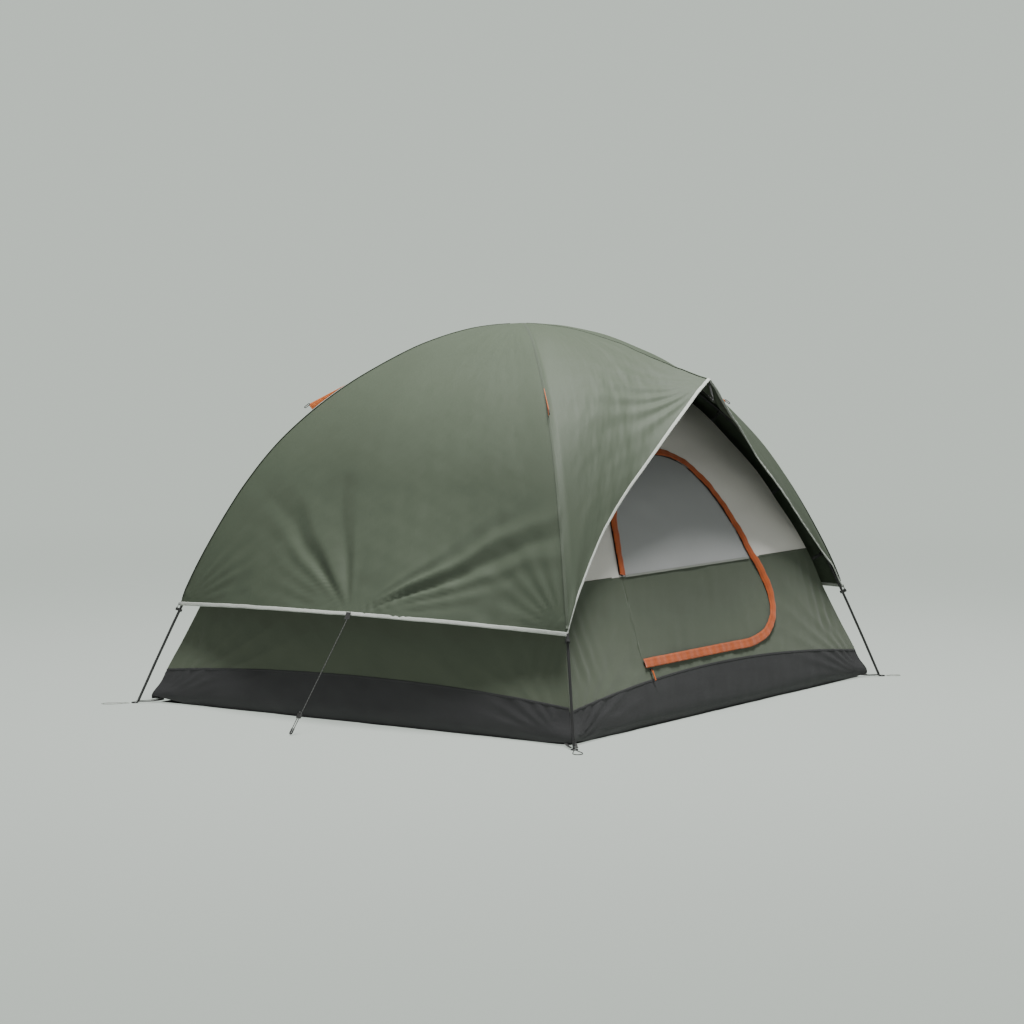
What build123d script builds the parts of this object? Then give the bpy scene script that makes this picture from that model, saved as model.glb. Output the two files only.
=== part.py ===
from build123d import *
import math
import os

# Free-standing dome tent: an inner tent hung on two crossing poles, with a
# rainfly over it.  Millimetres, +Z up, origin at the centre of the floor on
# the ground, door side facing -Y.

# ------------------------------------------------------------- dimensions --
HALF_X = 1050.0            # half width of the floor, across the door
HALF_Y = 913.0             # half depth of the floor
DIAG = math.hypot(HALF_X, HALF_Y)
CLOTH = 2.0                # thickness given to tent cloth
FLOOR_T = 2.5

# corner edge of the inner tent and of the rainfly: (distance out along the
# floor diagonal, height)
INNER_EDGE = [(1392, 0), (1372, 100), (1300, 234), (1230, 368), (1178, 482),
              (1110, 600), (1040, 700), (955, 820), (845, 940), (700, 1080),
              (500, 1205), (260, 1295), (6, 1325)]
FLY_EDGE = [(1314, 360), (1296, 400), (1249, 500), (1196, 600), (1137, 700),
            (1071, 800), (994, 900), (899, 1000), (781, 1100), (634, 1200),
            (447, 1300), (321, 1350), (207, 1382), (110, 1397), (5, 1404)]
# rainfly on the centre line at the front: (distance forward, height)
FLY_RIDGE = [(832, 1200), (762, 1222), (685, 1247), (610, 1274), (500, 1316),
             (425, 1341), (330, 1366), (216, 1390), (110, 1400), (5, 1404)]
# free front edge of the rainfly: (sideways, forward, height)
FLY_BROW = [(0, 832, 1200), (77, 826, 1150), (141, 821, 1100), (272, 813, 1000),
            (403, 806, 900), (538, 803, 800), (663, 807, 700), (771, 817, 600),
            (874, 835, 500), (925, 847, 450), (962, 853, 400)]
HEM_RISE = 24.0            # hem is this much higher between the corners
HEM_PULL = 92.0            # guyline pulls the middle of the left hem out

SEAM_GREEN = 515.0         # height of the seam between green and grey cloth
TUB_FRONT = (92.0, 168.0)  # top of the groundsheet wall, at corner and middle
TUB_SIDE = (95.0, 160.0)

# poles: nine hollow rods each; half of the middle rod plus four rods a side
ROD_L = 474.0
ROD_OD, ROD_ID = 9.5, 6.5
APEX_A, APEX_B = 1376.0, 1387.0
TURN_A = (13.79, 19.78, 18.47, 11.52, 2.12)   # degrees of bend per rod
TURN_B = (16.46, 16.24, 19.48, 11.16, 2.44)
FERRULE_OD, FERRULE_ID, FERRULE_HALF = 11.5, 9.7, 35.0
SHOCK_D = 2.5
RIDGE_R, RIDGE_ROD_D = 1450.0, 6.5            # bow of the short ridge pole
RIDGE_APEX = 1395.4
RIDGE_FRONT, RIDGE_REAR = 841.0, 25.0         # ends, forward and back

# door: centre of the zip, (sideways, height), from the window's lower left
# corner over the top and back along the sill
DOOR_ZIP = [(-487, 520), (-458, 610), (-421, 700), (-365, 778), (-285, 845),
            (-180, 897), (-60, 925), (68, 926), (190, 893), (268, 835),
            (345, 745), (397, 640), (437, 531), (474, 464), (500, 382),
            (484, 309), (405, 245), (275, 216), (140, 214), (0, 214),
            (-140, 214), (-280, 214), (-400, 214), (-500, 214)]
FLAP_HALF = 17.0           # storm flap reaches this far each side of the zip
HINGE_X = -520.0           # fold line of the door cloth
SLIDER_X = -470.0          # zip slider's place with the door shut

CORD_D = 3.0
GUY_D = 3.0


# ----------------------------------------------------------------- helpers --
def at(table, key, col=1):
    """Other column of a table at a given value of column col."""
    oth = 1 - col
    t = sorted(table, key=lambda q: q[col])
    if key <= t[0][col]:
        return t[0][oth]
    for p, q in zip(t, t[1:]):
        if key <= q[col]:
            f = (key - p[col]) / (q[col] - p[col])
            return p[oth] + f * (q[oth] - p[oth])
    return t[-1][oth]


def smooth(pts, n):
    """Catmull-Rom points through pts, n steps for each gap."""
    out = []
    for i in range(len(pts) - 1):
        p0 = pts[max(i - 1, 0)]
        p1, p2 = pts[i], pts[i + 1]
        p3 = pts[min(i + 2, len(pts) - 1)]
        for k in range(n):
            t = k / n
            out.append(tuple(
                0.5 * (2 * b + (c - a) * t + (2 * a - 5 * b + 4 * c - d) * t * t
                       + (3 * b - a - 3 * c + d) * t ** 3)
                for a, b, c, d in zip(p0, p1, p2, p3)))
    out.append(tuple(map(float, pts[-1])))
    return out


def shifted(pts, d):
    """Plane points moved d to the right of the way they run."""
    out = []
    for i, p in enumerate(pts):
        a, b = pts[max(i - 1, 0)], pts[min(i + 1, len(pts) - 1)]
        tx, ty = b[0] - a[0], b[1] - a[1]
        m = math.hypot(tx, ty)
        out.append((p[0] + d * ty / m, p[1] - d * tx / m))
    return out


def diagonal(sx, sy):
    """Unit direction from the centre to a floor corner."""
    return Vector(sx * HALF_X / DIAG, sy * HALF_Y / DIAG, 0)


CORNERS = {"fl": (-1, -1), "fr": (1, -1), "rr": (1, 1), "rl": (-1, 1)}


def strip_sketch(plane, pts, d0, d1):
    """Cloth section on a plane: pts is its line, d0 and d1 the distances of
    its two faces out from the line."""
    with BuildSketch(plane) as sk:
        with BuildLine():
            a = Spline(*[Vector(*p) for p in shifted(pts, d1)])
            b = Spline(*[Vector(*p) for p in shifted(pts, d0)])
            Line(a @ 0, b @ 0)
            Line(a @ 1, b @ 1)
        make_face()
    return sk.sketch


def wall_block(side, d0, d1):
    """Whole wall of the inner tent on one side, from the ground to the top,
    mitred to its neighbours on the floor diagonals."""
    half = HALF_Y if side in ("front", "rear") else HALF_X
    sgn = -1 if side in ("front", "left") else 1
    # heights fall along the line, so its right-hand side faces outward on the
    # positive side and the distances change sign on the negative side
    line = [(sgn * half * r / DIAG, z) for r, z in INNER_EDGE]
    a, b = (d0, d1) if sgn > 0 else (-d0, -d1)
    with BuildPart() as wall:
        extrude(strip_sketch(Plane.YZ if side in ("front", "rear") else Plane.XZ,
                             line, a, b), amount=1300, both=True)
        with BuildSketch(Plane.XY.offset(-20)):
            with BuildLine():
                g = 0.4
                if side in ("front", "rear"):
                    Polyline((0, sgn * g), (-1.3 * HALF_X, sgn * (1.3 * HALF_Y + g)),
                             (1.3 * HALF_X, sgn * (1.3 * HALF_Y + g)), close=True)
                else:
                    Polyline((sgn * g, 0), (sgn * (1.3 * HALF_X + g), -1.3 * HALF_Y),
                             (sgn * (1.3 * HALF_X + g), 1.3 * HALF_Y), close=True)
            make_face()
        extrude(amount=1500, mode=Mode.INTERSECT)
    return wall


def zone_sketch(plane, low, high):
    """Band of heights on a plane, seen square to a wall; low and high are a
    height or (height at the corner, height in the middle)."""
    w = 1150.0
    with BuildSketch(plane) as sk:
        with BuildLine():
            ends = []
            for q in (low, high):
                if isinstance(q, tuple):
                    arc = ThreePointArc((-w, q[0]), (0, q[1]), (w, q[0]))
                    ends.append((arc @ 0, arc @ 1))
                else:
                    ln = Line((-w, q), (w, q))
                    ends.append((ln @ 0, ln @ 1))
            Line(ends[0][0], ends[1][0])
            Line(ends[0][1], ends[1][1])
        make_face()
    return sk.sketch


PARTS = []


def keep(builder, label):
    builder.part.label = label
    PARTS.append((builder, label))


# ------------------------------------------------------------ groundsheet --
with BuildPart() as tub_floor:
    with BuildSketch(Plane.XY):
        Rectangle(2 * HALF_X, 2 * HALF_Y)
    extrude(amount=FLOOR_T)
keep(tub_floor, "tub_floor")

# -------------------------------------------------------- inner tent walls --
DOOR_LINE = smooth(DOOR_ZIP, 2)
SILL = DOOR_ZIP[-1][1]      # height of the zip's straight bottom run


def outline_sketch(points):
    """Filled outline on the upright plane."""
    with BuildSketch(Plane.XZ) as sk:
        with BuildLine():
            Polyline(*[Vector(*p) for p in points], close=True)
        make_face()
    return sk.sketch


def door_region(d):
    """Door outline on the upright plane, its zip side moved out by d and its
    fold line too."""
    line = shifted(DOOR_LINE, -d)
    return outline_sketch(line[:-1] + [(line[-1][0] - d, line[-1][1]),
                                       (line[0][0] - d, line[0][1])])


def door_strip(e0, e1):
    """Band along the zip on the upright plane, from e0 to e1 outside it."""
    return outline_sketch(shifted(DOOR_LINE, -e0) + shifted(DOOR_LINE, -e1)[::-1])


for side in ("front", "rear", "left", "right"):
    flat = Plane.XZ if side in ("front", "rear") else Plane.YZ
    tub = TUB_FRONT if side in ("front", "rear") else TUB_SIDE
    for name, low, high in (("tub", FLOOR_T + 0.3, tub),
                            ("wall", (tub[0] + 0.3, tub[1] + 0.3), SEAM_GREEN),
                            ("canopy", SEAM_GREEN + 0.3, 1400.0)):
        block = wall_block(side, -CLOTH, 0.0)
        with BuildPart() as panel:
            add(block.part)
            extrude(zone_sketch(flat, low, high), amount=1300, both=True,
                    mode=Mode.INTERSECT)
            if side == "front" and name != "tub":
                extrude(door_region(1.0), amount=1300, mode=Mode.SUBTRACT)
        keep(panel, name + "_" + side)

# -------------------------------------------------------------------- door --
for label, low, high in (("door_panel", 100.0, SEAM_GREEN - 0.3),
                         ("door_window", SEAM_GREEN + 0.3, 1200.0)):
    block = wall_block("front", -CLOTH, 0.0)
    with BuildPart() as panel:
        add(block.part)
        extrude(zone_sketch(Plane.XZ, low, high), amount=1300, both=True,
                mode=Mode.INTERSECT)
        extrude(door_region(-1.0), amount=1300, mode=Mode.INTERSECT)
    keep(panel, label)

# zip tapes with their coils lie behind the cloth on each side of the opening,
# and the storm flap hangs outside over them
for label, d0, d1, e0, e1 in (("zip_tape_frame", -4.4, -CLOTH - 0.4, 0.5, 13.0),
                              ("zip_tape_door", -4.4, -CLOTH - 0.4, -13.0, -0.5),
                              ("storm_flap", 3.0, 4.5, -FLAP_HALF, FLAP_HALF)):
    block = wall_block("front", d0, d1)
    with BuildPart() as tape:
        add(block.part)
        extrude(door_strip(e0, e1), amount=1300, mode=Mode.INTERSECT)
    keep(tape, label)

# light binding along the bottom of the mesh window, outside the door cloth
block = wall_block("front", 0.4, 1.6)
with BuildPart() as window_binding:
    add(block.part)
    extrude(zone_sketch(Plane.XZ, SEAM_GREEN - 5, SEAM_GREEN + 5), amount=1300,
            both=True, mode=Mode.INTERSECT)
    extrude(door_region(-FLAP_HALF - 3.0), amount=1300, mode=Mode.INTERSECT)
keep(window_binding, "window_binding")


# ------------------------------------------------------------------- poles --
def rod_chain(turns, apex):
    """Joints and tangents of half a pole in its own plane, from the middle of
    the middle rod down to the foot: [(out, height, slope angle), ...]."""
    out = [(0.0, apex, 0.0)]
    for k, deg in enumerate(turns):
        length = ROD_L / 2 if k == 0 else ROD_L
        r0, z0, a0 = out[-1]
        a1 = a0 + math.radians(deg)
        rad = length / math.radians(deg)
        out.append((r0 + rad * (math.sin(a1) - math.sin(a0)),
                    z0 - rad * (math.cos(a0) - math.cos(a1)), a1))
    return out


def chain_point(turns, apex, s):
    """Point and slope at a distance s along half a pole from its middle."""
    chain = rod_chain(turns, apex)
    for k, deg in enumerate(turns):
        length = ROD_L / 2 if k == 0 else ROD_L
        if s <= length or k == len(turns) - 1:
            r0, z0, a0 = chain[k]
            rad = length / math.radians(deg)
            a1 = a0 + s / rad
            return (r0 + rad * (math.sin(a1) - math.sin(a0)),
                    z0 - rad * (math.cos(a0) - math.cos(a1)), a1)
        s -= length


def pole_point(direction, r, z):
    return Vector(direction.X * r, direction.Y * r, z)


def pole_path(direction, turns, apex, s0, s1):
    """Edges of a pole's centre line from s0 to s1, counted from its middle
    and negative on the far leg."""
    joints = [0.0, ROD_L / 2] + [ROD_L / 2 + ROD_L * k for k in range(1, 5)]
    cuts = [s0] + [j * sg for sg in (-1, 1) for j in joints[1:]
                   if s0 + 1 < j * sg < s1 - 1] + [s1]
    cuts = sorted(set(cuts))

    def pt(s):
        r, z, _ = chain_point(turns, apex, abs(s))
        return pole_point(direction, math.copysign(r, s), z)
    return [(pt(a), pt((a + b) / 2), pt(b)) for a, b in zip(cuts, cuts[1:])]


def section_plane(edges):
    a, m, b = edges[0]
    arc = Edge.make_three_point_arc(a, m, b)
    return Plane(origin=a, z_dir=arc.tangent_at(0))


def swept_tube(edges, od, bore):
    """One tube or rod swept along tangent arcs."""
    with BuildPart() as tube:
        with BuildLine() as path:
            for a, m, b in edges:
                ThreePointArc(a, m, b)
        with BuildSketch(section_plane(edges)):
            Circle(od / 2)
            if bore:
                Circle(bore / 2, mode=Mode.SUBTRACT)
        sweep(path=path.wires()[0])
    return tube


POLES = {"pole_a": (diagonal(1, -1), TURN_A, APEX_A),
         "pole_b": (diagonal(1, 1), TURN_B, APEX_B)}
JOINTS = [ROD_L / 2 + ROD_L * k for k in range(0, 4)]
TOTAL_HALF = ROD_L * 4.5

for pole, (dirn, turns, apex) in POLES.items():
    cuts = sorted([-TOTAL_HALF, TOTAL_HALF] + JOINTS + [-j for j in JOINTS])
    with BuildPart() as rods:
        for a, b in zip(cuts, cuts[1:]):
            add(swept_tube(pole_path(dirn, turns, apex, a + 0.3, b - 0.3),
                           ROD_OD, ROD_ID).part)
    keep(rods, pole + "_rods")
    with BuildPart() as ferrules:
        for j in JOINTS + [-q for q in JOINTS]:
            add(swept_tube(pole_path(dirn, turns, apex, j - FERRULE_HALF,
                                     j + FERRULE_HALF), FERRULE_OD, FERRULE_ID).part)
    keep(ferrules, pole + "_ferrules")
    shock = swept_tube(pole_path(dirn, turns, apex, -TOTAL_HALF + 60,
                                 TOTAL_HALF - 60), SHOCK_D, 0)
    keep(shock, pole + "_shock_cord")

# -------------------------------------------------------- feet and corners --
FOOT_R, FOOT_Z = rod_chain(TURN_A, APEX_A)[-1][:2]
FOOT_A = rod_chain(TURN_A, APEX_A)[-1][2]
PIN_D, PIN_IN, RING_R, RING_WIRE = 5.0, 42.0, 11.0, 4.0

with BuildPart() as foot_pins:
    for cn, (sx, sy) in CORNERS.items():
        dirn = diagonal(sx, sy)
        down = Vector(dirn.X * math.cos(FOOT_A), dirn.Y * math.cos(FOOT_A), -math.sin(FOOT_A))
        foot = pole_point(dirn, FOOT_R, FOOT_Z)
        with BuildSketch(Plane(origin=foot + down * 5.0, z_dir=down * -1)):
            Circle(PIN_D / 2)
        extrude(amount=PIN_IN + 5.0)
        # collar that the rod stands on
        with BuildSketch(Plane(origin=foot + down * 5.0, z_dir=down * -1)):
            Circle(4.4)
        extrude(amount=4.0)
        ring = foot + down * 3.0
        centre = Vector(ring.X + dirn.X * (RING_R + 1.5), ring.Y + dirn.Y * (RING_R + 1.5), 0)
        with BuildSketch(Plane(origin=Vector(centre.X, centre.Y, RING_WIRE / 2 + 0.2),
                               x_dir=Vector(0, 0, 1), z_dir=Vector(-dirn.Y, dirn.X, 0))):
            with Locations((0, RING_R)):
                Circle(RING_WIRE / 2)
        revolve(axis=Axis(centre, (0, 0, 1)), revolution_arc=360)
keep(foot_pins, "foot_pins")

with BuildPart() as corner_webbing:
    for cn, (sx, sy) in CORNERS.items():
        dirn = diagonal(sx, sy)
        tip = (dirn.X * (FOOT_R + 6.0), dirn.Y * (FOOT_R + 6.0))
        for k in (0, 1):
            # one strap from each side of the groundsheet corner
            if k == 0:
                a = (sx * (HALF_X + 1.0), sy * (HALF_Y - 34.0))
                b = (sx * (HALF_X + 1.0), sy * (HALF_Y - 18.0))
            else:
                a = (sx * (HALF_X - 34.0), sy * (HALF_Y + 1.0))
                b = (sx * (HALF_X - 18.0), sy * (HALF_Y + 1.0))
            side_v = Vector(-dirn.Y, dirn.X, 0)
            w = 4.0
            m = 1 if (Vector(a[0], a[1], 0) - Vector(*tip, 0)).dot(side_v) > 0 else -1
            p = (tip[0] + side_v.X * m * 5.6, tip[1] + side_v.Y * m * 5.6)
            q = (tip[0] + side_v.X * m * (5.6 + 2 * w), tip[1] + side_v.Y * m * (5.6 + 2 * w))
            with BuildSketch(Plane.XY.offset(5.2)):
                with BuildLine():
                    inner, outer = (b, a)
                    Polyline(p, q, outer, inner, close=True)
                make_face()
            extrude(amount=1.5)
keep(corner_webbing, "corner_webbing")

# peg loops: limp cord loops that lie on the ground outside each foot
LOOP_REACH = {"fl": 84.0, "rl": 104.0, "fr": 58.0, "rr": 84.0}


def loop_route(cn):
    sx, sy = CORNERS[cn]
    dirn = diagonal(sx, sy)
    side_v = Vector(-dirn.Y, dirn.X, 0)
    r0 = FOOT_R + 2 * RING_R + 11.0
    k = LOOP_REACH[cn] / 104.0
    flat = [(0, 5), (30 * k, 12), (62 * k, 18), (94 * k, 14), (106 * k, -3),
            (90 * k, -17), (58 * k, -15), (28 * k, -9), (0, -4)]
    return [Vector(dirn.X * (r0 + u) + side_v.X * v, dirn.Y * (r0 + u) + side_v.Y * v,
                   CORD_D / 2 + 0.3) for u, v in flat]


def corner_radii(points):
    out = []
    for a, b, c in zip(points, points[1:], points[2:]):
        u, v = b - a, c - b
        turn = math.radians(u.get_angle(v))
        out.append(0.45 * min(u.length, v.length) / math.tan(turn / 2))
    return out


def cord_tube(points, radii, dia, label):
    with BuildPart() as cord:
        with BuildLine() as path:
            fp = FilletPolyline(*points, radius=radii)
        with BuildSketch(Plane(origin=fp @ 0, z_dir=fp % 0)):
            Circle(dia / 2)
        sweep(path=path.wires()[0])
    want = math.pi * dia * dia / 4 * fp.length
    print("%-18s length %.1f  radii %s  volume/expected %.4f" % (
        label, fp.length, [round(r, 1) for r in radii], cord.part.volume / want))
    keep(cord, label)


for cn in CORNERS:
    route = loop_route(cn)
    cord_tube(route, corner_radii(route), CORD_D, "peg_loop_" + cn)

# ------------------------------------------------------------- pole clips --
CLIP_Z = (500.0, 770.0, 1060.0)


def s_at_height(turns, apex, z):
    lo, hi = 0.0, TOTAL_HALF
    for _ in range(60):
        mid = (lo + hi) / 2
        if chain_point(turns, apex, mid)[1] > z:
            lo = mid
        else:
            hi = mid
    return lo


def edge_point(z_clip, r_clip, slope):
    """Where the inward normal of a pole meets the inner tent's corner edge."""
    best = None
    for k in range(20, 2200):
        t = k * 0.1
        r = r_clip - t * math.sin(slope)
        z = z_clip - t * math.cos(slope)
        if r <= at(INNER_EDGE, z, 1):
            best = t
            break
    return best


with BuildPart() as pole_clips:
    for cn, (sx, sy) in CORNERS.items():
        pole = "pole_a" if sx * sy < 0 else "pole_b"
        _, turns, apex = POLES[pole]
        dirn = diagonal(sx, sy)
        for zc in CLIP_Z:
            s = s_at_height(turns, apex, zc)
            r, z, slope = chain_point(turns, apex, s)
            along = Vector(dirn.X * math.cos(slope), dirn.Y * math.cos(slope), -math.sin(slope))
            inward = Vector(-dirn.X * math.sin(slope), -dirn.Y * math.sin(slope), -math.cos(slope))
            c = pole_point(dirn, r, z)
            with BuildSketch(Plane(origin=c - along * 7.0, x_dir=inward, z_dir=along)):
                Circle(7.6)
                with Locations((10.5, 0)):
                    Rectangle(9.0, 9.0)
                Circle(4.95, mode=Mode.SUBTRACT)
                # mouth that snaps over the rod
                with BuildLine():
                    Polyline((0, 0), (-12, 7.5), (-12, -7.5), close=True)
                make_face(mode=Mode.SUBTRACT)
            extrude(amount=14.0)
keep(pole_clips, "pole_clips")

with BuildPart() as clip_straps:
    for cn, (sx, sy) in CORNERS.items():
        pole = "pole_a" if sx * sy < 0 else "pole_b"
        _, turns, apex = POLES[pole]
        dirn = diagonal(sx, sy)
        for zc in CLIP_Z:
            s = s_at_height(turns, apex, zc)
            r, z, slope = chain_point(turns, apex, s)
            along = Vector(dirn.X * math.cos(slope), dirn.Y * math.cos(slope), -math.sin(slope))
            inward = Vector(-dirn.X * math.sin(slope), -dirn.Y * math.sin(slope), -math.cos(slope))
            t = edge_point(z, r, slope)
            c = pole_point(dirn, r, z) + inward * 15.2
            with BuildSketch(Plane(origin=c, x_dir=along, z_dir=inward)):
                Rectangle(12.0, 1.6)
            extrude(amount=t - 15.2 - 3.2)
keep(clip_straps, "clip_straps")

# hook that hangs the top of the inner tent from the crossing
with BuildPart() as apex_hook:
    da = diagonal(1, -1)
    with BuildSketch(Plane(origin=Vector(-da.X * 8, -da.Y * 8, APEX_A),
                           x_dir=Vector(0, 0, -1), z_dir=da)):
        Circle(7.8)
        with Locations((18.0, 0)):
            Rectangle(24.0, 10.0)
        Circle(4.95, mode=Mode.SUBTRACT)
        with Locations((-7.0, 0)):
            Rectangle(14.0, 9.9, mode=Mode.SUBTRACT)
    extrude(amount=16.0)
    with BuildSketch(Plane.XY.offset(1327.6)):
        Circle(26.0)
    extrude(amount=2.0)
    with BuildSketch(Plane.XY.offset(1329.0)):
        Rectangle(14.0, 10.0, rotation=math.degrees(math.atan2(da.Y, da.X)))
    extrude(amount=20.0)
keep(apex_hook, "apex_hook")


# -------------------------------------------------------------- zip slider --
def on_wall(z, out):
    """Point and directions on the front wall at a height: (y, z, up, normal)."""
    line = smooth([(HALF_Y * r / DIAG, q) for r, q in INNER_EDGE], 8)
    for (y0, z0), (y1, z1) in zip(line, line[1:]):
        if z0 <= z <= z1:
            f = (z - z0) / (z1 - z0)
            y = y0 + f * (y1 - y0)
            m = math.hypot(y1 - y0, z1 - z0)
            up = Vector(0, -(y1 - y0) / m, (z1 - z0) / m)
            nrm = Vector(0, -up.Z, up.Y)
            return Vector(0, -y, z) + nrm * out, up, nrm


base, up, nrm = on_wall(SILL - 24.0, 2.0)
base = base + Vector(SLIDER_X, 0, 0)
with BuildPart() as zip_slider:
    with BuildSketch(Plane(origin=base, x_dir=Vector(1, 0, 0), z_dir=nrm)):
        RectangleRounded(11.0, 9.0, 2.5)
    extrude(amount=5.0)
    with BuildSketch(Plane(origin=base + nrm * 5.0 - Vector(2.2, 0, 0),
                           x_dir=nrm, z_dir=Vector(1, 0, 0))):
        with BuildLine():
            Polyline((-0.4, -3.5), (2.6, -3.5), (2.6, 3.5), (-0.4, 3.5), (-0.4, 2.1),
                     (1.2, 2.1), (1.2, -2.1), (-0.4, -2.1), close=True)
        make_face()
    extrude(amount=4.4)
keep(zip_slider, "zip_slider")

PULL_PIVOT = base + nrm * 5.6 - up * 0.6
with BuildPart() as zip_pull:
    # metal eye: a round bar inside the slider's bail, and two arms beside it
    with BuildSketch(Plane(origin=PULL_PIVOT - Vector(5.0, 0, 0), x_dir=nrm, z_dir=Vector(1, 0, 0))):
        Circle(0.45)
    extrude(amount=10.0)
    with BuildSketch(Plane(origin=base + nrm * 5.3, x_dir=Vector(1, 0, 0), z_dir=nrm)):
        with Locations((0, -5.9)):
            Rectangle(10.0, 10.6)
        with Locations((0, -4.6)):
            Rectangle(5.6, 8.8, mode=Mode.SUBTRACT)
        with Locations((0, -24.0)):
            RectangleRounded(6.0, 35.0, 2.4)
    extrude(amount=0.6)
    with BuildSketch(Plane(origin=base + nrm * 5.1 - up * 26.0, x_dir=Vector(1, 0, 0), z_dir=nrm)):
        RectangleRounded(7.0, 30.0, 2.4)
    extrude(amount=2.2)
keep(zip_pull, "zip_pull")


# ----------------------------------------------------------------- rainfly --
def radial_plane(phi):
    """Upright plane through the Z axis: local x out, local y up."""
    c, s = math.cos(phi), math.sin(phi)
    return Plane(origin=(0, 0, 0), x_dir=Vector(c, s, 0), z_dir=Vector(s, -c, 0))


N_ROW = 13
EDGE_FINE = smooth(FLY_EDGE, 4)
RIDGE_FINE = smooth(FLY_RIDGE, 4)


def sample(table, n):
    """n points evenly spaced along a table's line."""
    acc = [0.0]
    for p, q in zip(table, table[1:]):
        acc.append(acc[-1] + math.dist(p, q))
    out = []
    for k in range(n):
        s = acc[-1] * k / (n - 1)
        for i in range(len(table) - 1):
            if s <= acc[i + 1] + 1e-9:
                f = (s - acc[i]) / (acc[i + 1] - acc[i])
                out.append(tuple(a + f * (b - a) for a, b in zip(table[i], table[i + 1])))
                break
    return out


def side_section(phi, mid, halfspan, half, pull):
    """Line of a flat-sided panel in the upright plane at phi: the panel's
    face lies at distance half*edge/DIAG from the Z axis."""
    off = phi - mid
    w = 1.0 - abs(off) / halfspan                    # 0 at the corner, 1 in the middle
    stretch = half / DIAG / math.cos(off)
    rise = HEM_RISE * math.sin(math.pi * min(max(w, 0.0), 1.0) / 2)
    line = [p for p in EDGE_FINE if p[1] > 362.0 + rise]
    low = (at(FLY_EDGE, 360.0 + rise, 1), 360.0 + rise)
    line = [low] + line
    tan_w = math.tan(abs(off)) / math.tan(halfspan)  # 0 middle, 1 corner
    out = []
    for r, z in sample(line, N_ROW):
        h = max(0.0, 1.0 - (z - 384.0) / 430.0)
        g = 0.5 * (1.0 + math.cos(math.pi * min(tan_w, 1.0)))
        out.append((r * stretch + pull * h ** 1.6 * g / math.cos(off), z))
    return out


def brow_point(f):
    """Point on the brow at fraction f of its length from peak to corner, as
    (sideways, forward, height)."""
    return sample(smooth(FLY_BROW + [(CX, CY, 360.0)], 4), 201)[int(round(f * 200))]


CX, CY = HALF_X * 1314 / DIAG, HALF_Y * 1314 / DIAG
BROW_FINE = sample(smooth(FLY_BROW + [(CX, CY, 360.0)], 4), 401)


def front_section(t):
    """Line of the front panel in the upright plane at angle t (radians) away
    from straight ahead, from the brow up to the top."""
    tc = math.atan2(HALF_X, HALF_Y)
    u = t / tc
    # brow point in that plane
    best = min(BROW_FINE, key=lambda p: abs(math.atan2(p[0], p[1]) - t))
    rb, zb = math.hypot(best[0], best[1]), best[2]
    ridge = sample(RIDGE_FINE, N_ROW)
    edge = sample(EDGE_FINE, N_ROW)
    out = []
    # blend the ridge line and the corner line so that both ends are met
    for k in range(N_ROW):
        v = k / (N_ROW - 1)
        r = ridge[k][0] * (1 - u) + edge[k][0] * u
        z = ridge[k][1] * (1 - u) + edge[k][1] * u
        out.append([r, z])
    # the flat span between ridge and corner line is a little inside the arc
    dr, dz = rb - out[0][0], zb - out[0][1]
    for k in range(N_ROW):
        w = (1 - k / (N_ROW - 1)) ** 1.5
        out[k][0] += dr * w
        out[k][1] += dz * w
    return [tuple(p) for p in out]


def fly_panel(planes_lines):
    with BuildPart() as panel:
        loft([strip_sketch(radial_plane(phi), line, -CLOTH, 0.0)
              for phi, line in planes_lines])
    return panel


A_SIDE = math.atan2(HALF_Y, HALF_X)      # half angle of the left and right panels
A_FRONT = math.atan2(HALF_X, HALF_Y)     # half angle of the front and rear panels
EPS = 0.0006


def spaced(lo, hi, n):
    return [lo + (hi - lo) * k / (n - 1) for k in range(n)]


for label, mid, span, half, pull, n in (
        ("fly_left", math.pi, A_SIDE, HALF_X, HEM_PULL, 13),
        ("fly_right", 0.0, A_SIDE, HALF_X, 0.0, 9),
        ("fly_rear", math.pi / 2, A_FRONT, HALF_Y, 0.0, 9)):
    secs = [(phi, side_section(phi, mid, span, half, pull))
            for phi in spaced(mid - span + EPS, mid + span - EPS, n)]
    keep(fly_panel(secs), label)

for label, sgn in (("fly_front_left", -1), ("fly_front_right", 1)):
    secs = [(-math.pi / 2 + sgn * t, front_section(t))
            for t in spaced(EPS, A_FRONT - EPS, 7)]
    keep(fly_panel(secs), label)

# binding tapes folded over the free edges, given here as one outside strip
def tape_sketch(plane, line, width, d0, d1):
    a, b = line[0], line[1]
    m = math.dist(a, b)
    t = ((b[0] - a[0]) / m, (b[1] - a[1]) / m)
    n = (t[1], -t[0])
    c = (a[0] + t[0] * width, a[1] + t[1] * width)
    with BuildSketch(plane) as sk:
        with BuildLine():
            Polyline((a[0] + n[0] * d0, a[1] + n[1] * d0), (a[0] + n[0] * d1, a[1] + n[1] * d1),
                     (c[0] + n[0] * d1, c[1] + n[1] * d1), (c[0] + n[0] * d0, c[1] + n[1] * d0),
                     close=True)
        make_face()
    return sk.sketch


def tape(planes_lines, width):
    with BuildPart() as strip:
        loft([tape_sketch(radial_plane(phi), line, width, 0.4, 1.6)
              for phi, line in planes_lines])
    return strip


with BuildPart() as hem_binding:
    for mid, span, half, pull, n in ((math.pi, A_SIDE, HALF_X, HEM_PULL, 13),
                                     (0.0, A_SIDE, HALF_X, 0.0, 9),
                                     (math.pi / 2, A_FRONT, HALF_Y, 0.0, 9)):
        add(tape([(phi, side_section(phi, mid, span, half, pull))
                  for phi in spaced(mid - span + EPS, mid + span - EPS, n)], 14.0).part)
keep(hem_binding, "hem_binding")

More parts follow.
